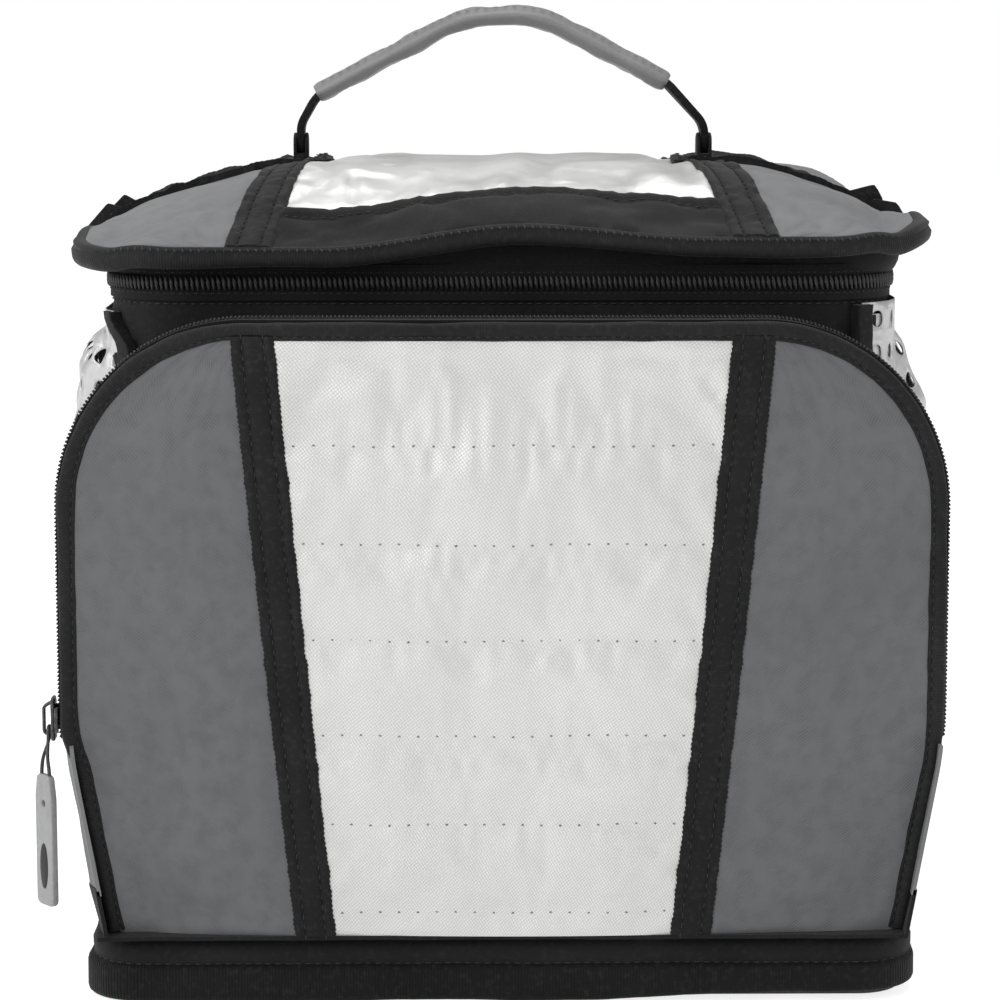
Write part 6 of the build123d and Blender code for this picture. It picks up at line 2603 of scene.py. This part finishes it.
# ---------------------------------------------------------------- handle
@dataclass
class Handle(Part):
    """The webbing handle with its vinyl grip and the ears that hold it."""

    lid: Lid
    middle: float = 15.0
    feet: tuple[float, float] = (-68.5, 71.5)
    pivot: float = 272.77
    knee: float = 283.37
    leg_r: float = 4.6
    leg_w: float = 25.0
    leg_t: float = 2.6
    grip_w: float = 30.0
    grip_t: float = 6.8
    grip: tuple[tuple[float, float], ...] = ((-62.5, 289.0), (-13.0, 314.8), (13.0, 316.6), (58.0, 293.0))

    def build(self) -> None:
        """Makes the webbing, the grip and the ears."""
        self.build_band()
        self.build_grip()
        self.build_ears()

    def frame(self, line: Array) -> tuple[Array, Array, Array]:
        """Places and directions for a section carried along the handle's line."""
        along = tangents(line)
        return upright(line, self.middle), -AHEAD, upright(np.stack([-along[:, 1], along[:, 0]], 1))

    def build_band(self) -> None:
        """The webbing from foot to foot, narrowed where it turns in the ears."""
        bottom = self.pivot - self.leg_r + 0.2
        (left, right), bend = self.feet, self.knee - 5
        corners = [(left, bottom), (left, bend), *self.grip, (right, bend), (right, bottom)]
        line = rounded_path(corners, [0, 9, 16, 40, 40, 16, 9, 0], 1.2)
        path, side, up = self.frame(line)
        share = np.clip((line[:, 1] - self.pivot) / (self.knee + 8 - self.pivot), 0, 1)
        wide = 2 * self.leg_r + (self.leg_w - 2 * self.leg_r) * share
        chord = 2 * np.sqrt(np.clip(self.leg_r**2 - (self.pivot - line[:, 1]) ** 2, 0.8, None))
        wide = np.where(line[:, 1] < self.pivot, chord, wide)
        ring = round_section(1.0, self.leg_t, 0.45)
        section = np.repeat(ring[None], len(path), axis=0)
        section[..., 0] = np.sign(ring[:, 0]) * (wide[:, None] / 2 - 0.5 + np.abs(ring[:, 0]))
        band = Shell().sweep(path, side, up, section)
        self.put(band, "handle_band", "webbing", "handle", "black_webbing", "handle_webbing")

    def build_grip(self) -> None:
        """The vinyl sleeve, folded round the webbing and sewn along both edges."""
        path, side, up = self.frame(rounded_path(self.grip, [0, 40, 40, 0], 1.0))
        wide, tall = superellipse(self.grip_w, self.grip_t, (0.5, 0.8), 28).T
        tall = np.where(np.abs(wide) > self.grip_w / 2 - 2.2, tall * 0.62, tall)
        section = np.repeat(np.stack([wide, tall], 1)[None], len(path), axis=0)
        places = path[:, None] + side * section[..., :1] + up[:, None] * section[..., 1:]
        wrinkle = 0.16 * ruffle(places * np.array([1.6, 0.5, 1]), 26, 96) + 0.1 * crumple(places, 30, 97)
        section[..., 1] *= 1 + wrinkle * 0.5
        section[..., 0] *= 1 + 0.012 * ruffle(path, 40, 98)[:, None]
        ends = np.minimum(np.arange(len(path)), np.arange(len(path))[::-1])
        section *= (1 - 0.12 * np.exp(-ends / 0.6))[:, None, None]
        sleeve = Shell().sweep(path, side, up, section)
        self.put(sleeve, "grip_sleeve", "grip vinyl", "handle", "grip_vinyl", "handle_grip")
        sewn, lean = path[4:-4], up[4:-4]
        lines = [(sewn + side * way * (self.grip_w / 2 - 2.4) + lean * (self.grip_t * 0.43), lean) for way in (-1, 1)]
        self.sew("grip_stitches", lines, 3.2, (2.4, 0.4, 0.35), "handle", "grip_vinyl", "grip vinyl")

    def build_ears(self) -> None:
        """The doubled webbing ears that hold the handle's feet, with their sewn patches."""
        parts = []
        reach = self.leg_r + 1.2
        front, rear = self.middle - reach, self.middle + reach
        crest = self.pivot - self.leg_r + 0.3
        for number, foot in enumerate(self.feet):

            def stood(flat: Array, depth: float, foot: float = foot) -> Array:
                """Places on a slab that stands across the lid at the foot."""
                return np.column_stack([np.full(len(flat), foot + depth), flat])

            arc = [(self.middle + reach * math.cos(a), self.pivot - 0.4 + 3.2 * math.sin(a))
                   for a in np.linspace(0, math.pi, 16)]
            ground = float(self.lid.height(np.array([foot]), np.array([self.middle]))[0]) + 0.4
            ear = rounded_path([*arc, (front, ground), (rear, ground)], [0.4] * 18, 1.2, closed=True)
            for name, faces in ((f"ear_{number}_0", (-2.5, -1.45)), (f"ear_{number}_1", (1.45, 2.5))):
                parts.append(self.plate(name, ear, stood, faces, 0.4, "webbing"))
            sole = [(front, ground), (rear, ground), (rear, crest), (front, crest)]
            sole = rounded_path(sole, [0.3] * 4, 1.2, closed=True)
            parts.append(self.plate(f"sole_{number}", sole, stood, (-1.6, 1.6), 0.2, "webbing"))
            parts.append(self.build_patch(number, foot))
        self.place(joined(parts), "lid", "black_webbing", "handle_anchors")

    def build_patch(self, number: int, foot: float) -> Piece:
        """One ear's patch on the lid with its crossed stitching.

        Args:
            number: The ear's number.
            foot: The X of its middle.

        Returns:
            The patch, without its stitching.
        """
        x, y = np.meshgrid(foot + np.linspace(-11, 11, 12), self.middle + np.linspace(-12, 12, 12), indexing="ij")
        rim = np.minimum(11 - np.abs(x - foot), 12 - np.abs(y - self.middle))
        top = self.lid.surface(x, y, 1.6 + 0.9 * smooth_step(rim, 0, 1.4))
        patch = Shell().sheet(top, self.lid.surface(x, y, 0.3), np.linspace(0, 22, 12), np.linspace(0, 24, 12))
        made = patch.piece(f"patch_{number}", self.kit.finishes["webbing"], sharp=60)
        ring = np.array([(8.5, 9.5), (-8.5, 9.5), (-8.5, -9.5), (8.5, -9.5), (8.5, 9.5), (-8.5, -9.5)])
        lines = []
        for start, end in zip(ring[:-1], ring[1:]):
            run = start + (end - start) * np.linspace(0, 1, 12)[:, None]
            lines.append((self.lid.surface(foot + run[:, 0], self.middle + run[:, 1], 2.65), UP))
        self.sew(f"patch_stitches_{number}", lines, 2.6, (2.0, 0.5, 0.5), "lid", "black_webbing")
        return made


# ---------------------------------------------------------------- studio
@dataclass
class Lamp:
    """A soft lamp: where it stands, where it points, its size and its power."""

    name: str
    at: tuple[float, float, float]
    size: float
    power: float
    aim: tuple[float, float, float] = (0.0, 0.0, 0.15)


@dataclass
class Studio:
    """The floor, the light and the camera, in metres."""

    camera_at: tuple[float, float, float] = (-0.014, -1.115, 0.308)
    camera_aim: tuple[float, float, float] = (0.0006, 0.015, 0.1463)
    lens: float = 116.2
    floor_half: float = 6.0
    surround: float = 0.45
    lamps: tuple[Lamp, ...] = (
        Lamp("front", (-1.3, -2.1, 1.5), 1.5, 29.0),
        Lamp("right", (2.0, -0.8, 1.3), 1.4, 8.0),
        Lamp("left", (-2.2, 0.0, 1.2), 1.2, 15.0),
        Lamp("top", (0.1, 0.3, 2.4), 1.6, 22.0),
    )

    def build(self) -> None:
        """Sets up the whole scene around the bag."""
        self.build_floor()
        self.build_world()
        for lamp in self.lamps:
            light = bpy.data.lights.new(lamp.name, "AREA")
            light.shape, light.size, light.energy = "SQUARE", lamp.size, lamp.power
            self.stand(linked(lamp.name, light), lamp.at, lamp.aim)
        camera = bpy.data.cameras.new("camera")
        camera.lens, camera.sensor_width = self.lens, 36.0
        bpy.context.scene.camera = linked("camera", camera)
        self.stand(bpy.context.scene.camera, self.camera_at, self.camera_aim)
        bpy.context.scene.view_settings.view_transform = "Standard"

    @staticmethod
    def stand(thing: Piece, at: Sequence[float], aim: Sequence[float]) -> None:
        """Stands a lamp or camera in its place and turns it towards its aim."""
        thing.location = at
        thing.rotation_euler = (Vector(aim) - Vector(at)).to_track_quat("-Z", "Y").to_euler()

    @staticmethod
    def seen(recipe: Recipe, *rays: str) -> Socket:
        """One for these kinds of rays.

        Args:
            recipe: The material's recipe.
            rays: The kinds of rays.

        Returns:
            One for them and zero for others.
        """
        path = recipe.node("ShaderNodeLightPath").outputs
        share = path[f"Is {rays[0]} Ray"]
        for ray in rays[1:]:
            share = recipe.maths("MAXIMUM", share, path[f"Is {ray} Ray"])
        return share

    def build_floor(self) -> None:
        """A wide pale floor that keeps the bag's soft shadow."""
        material = bpy.data.materials.new("floor")
        material.use_nodes = True
        recipe = Recipe(material.node_tree)
        paint = recipe.node("ShaderNodeBsdfDiffuse", {"Color": (0.8, 0.8, 0.8)})
        glow = recipe.node("ShaderNodeEmission", {"Color": (1.0, 1.0, 1.0), "Strength": 0.8})
        dull = recipe.node("ShaderNodeBsdfDiffuse", {"Color": (0.5, 0.5, 0.5)})
        lit = recipe.node("ShaderNodeAddShader", {0: glow.outputs[0], 1: dull.outputs[0]})
        seen = self.seen(recipe, "Camera", "Glossy", "Transmission")
        mixed = recipe.node("ShaderNodeMixShader", {0: seen, 1: paint.outputs[0], 2: lit.outputs[0]})
        recipe.node("ShaderNodeOutputMaterial", {"Surface": mixed.outputs[0]})
        half = self.floor_half
        mesh = bpy.data.meshes.new("floor")
        mesh.from_pydata([(-half, -half, 0), (half, -half, 0), (half, half, 0), (-half, half, 0)], [], [(0, 1, 2, 3)])
        mesh.materials.append(material)
        linked("floor", mesh)

    def build_world(self) -> None:
        """A white surround for what is seen and a dimmer one for light."""
        world = bpy.data.worlds.new("studio")
        world.use_nodes = True
        recipe = Recipe(world.node_tree)
        bright, dim = (recipe.node("ShaderNodeBackground", {"Color": (1.0, 1.0, 1.0), "Strength": strength}).outputs[0]
                       for strength in (1.0, self.surround))
        mixed = recipe.node("ShaderNodeMixShader", {0: self.seen(recipe, "Camera", "Transmission"), 1: dim, 2: bright})
        recipe.node("ShaderNodeOutputWorld", {"Surface": mixed.outputs[0]})
        bpy.context.scene.world = world


# ---------------------------------------------------------------- the whole bag
def dress_kept(nodes: dict[str, Piece], kit: Kit) -> None:
    """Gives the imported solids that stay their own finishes.

    Args:
        nodes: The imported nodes' objects by name.
        kit: The finishes.
    """
    kept = {name: "foam" for name in ("base_foam", "front_foam", "rear_foam", "side_foams")}
    for name, finish in {**kept, "base_board": "base board"}.items():
        nodes[name].data.materials.clear()
        nodes[name].data.materials.append(kit.finishes[finish])
        log.info("%s is dressed in %s", name, finish)


def main() -> None:
    """Builds the bag and its studio."""
    logging.basicConfig(level=logging.INFO, format="%(name)s: %(message)s")
    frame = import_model()
    kit = Kit()
    base, body, pocket, sides, lid = Base(kit), Body(kit), Pocket(kit), SidePockets(kit), Lid(kit)
    kit.moves = settle([body.cloth(), pocket.cloth(), sides.cloth(), lid.cloth()])
    for part in (base, body, pocket, sides, lid, LidZip(kit), Hinge(kit), Handle(kit, lid)):
        part.build()
    dress_kept(frame["nodes"], kit)
    Studio().build()


if __name__ == "__main__":
    main()
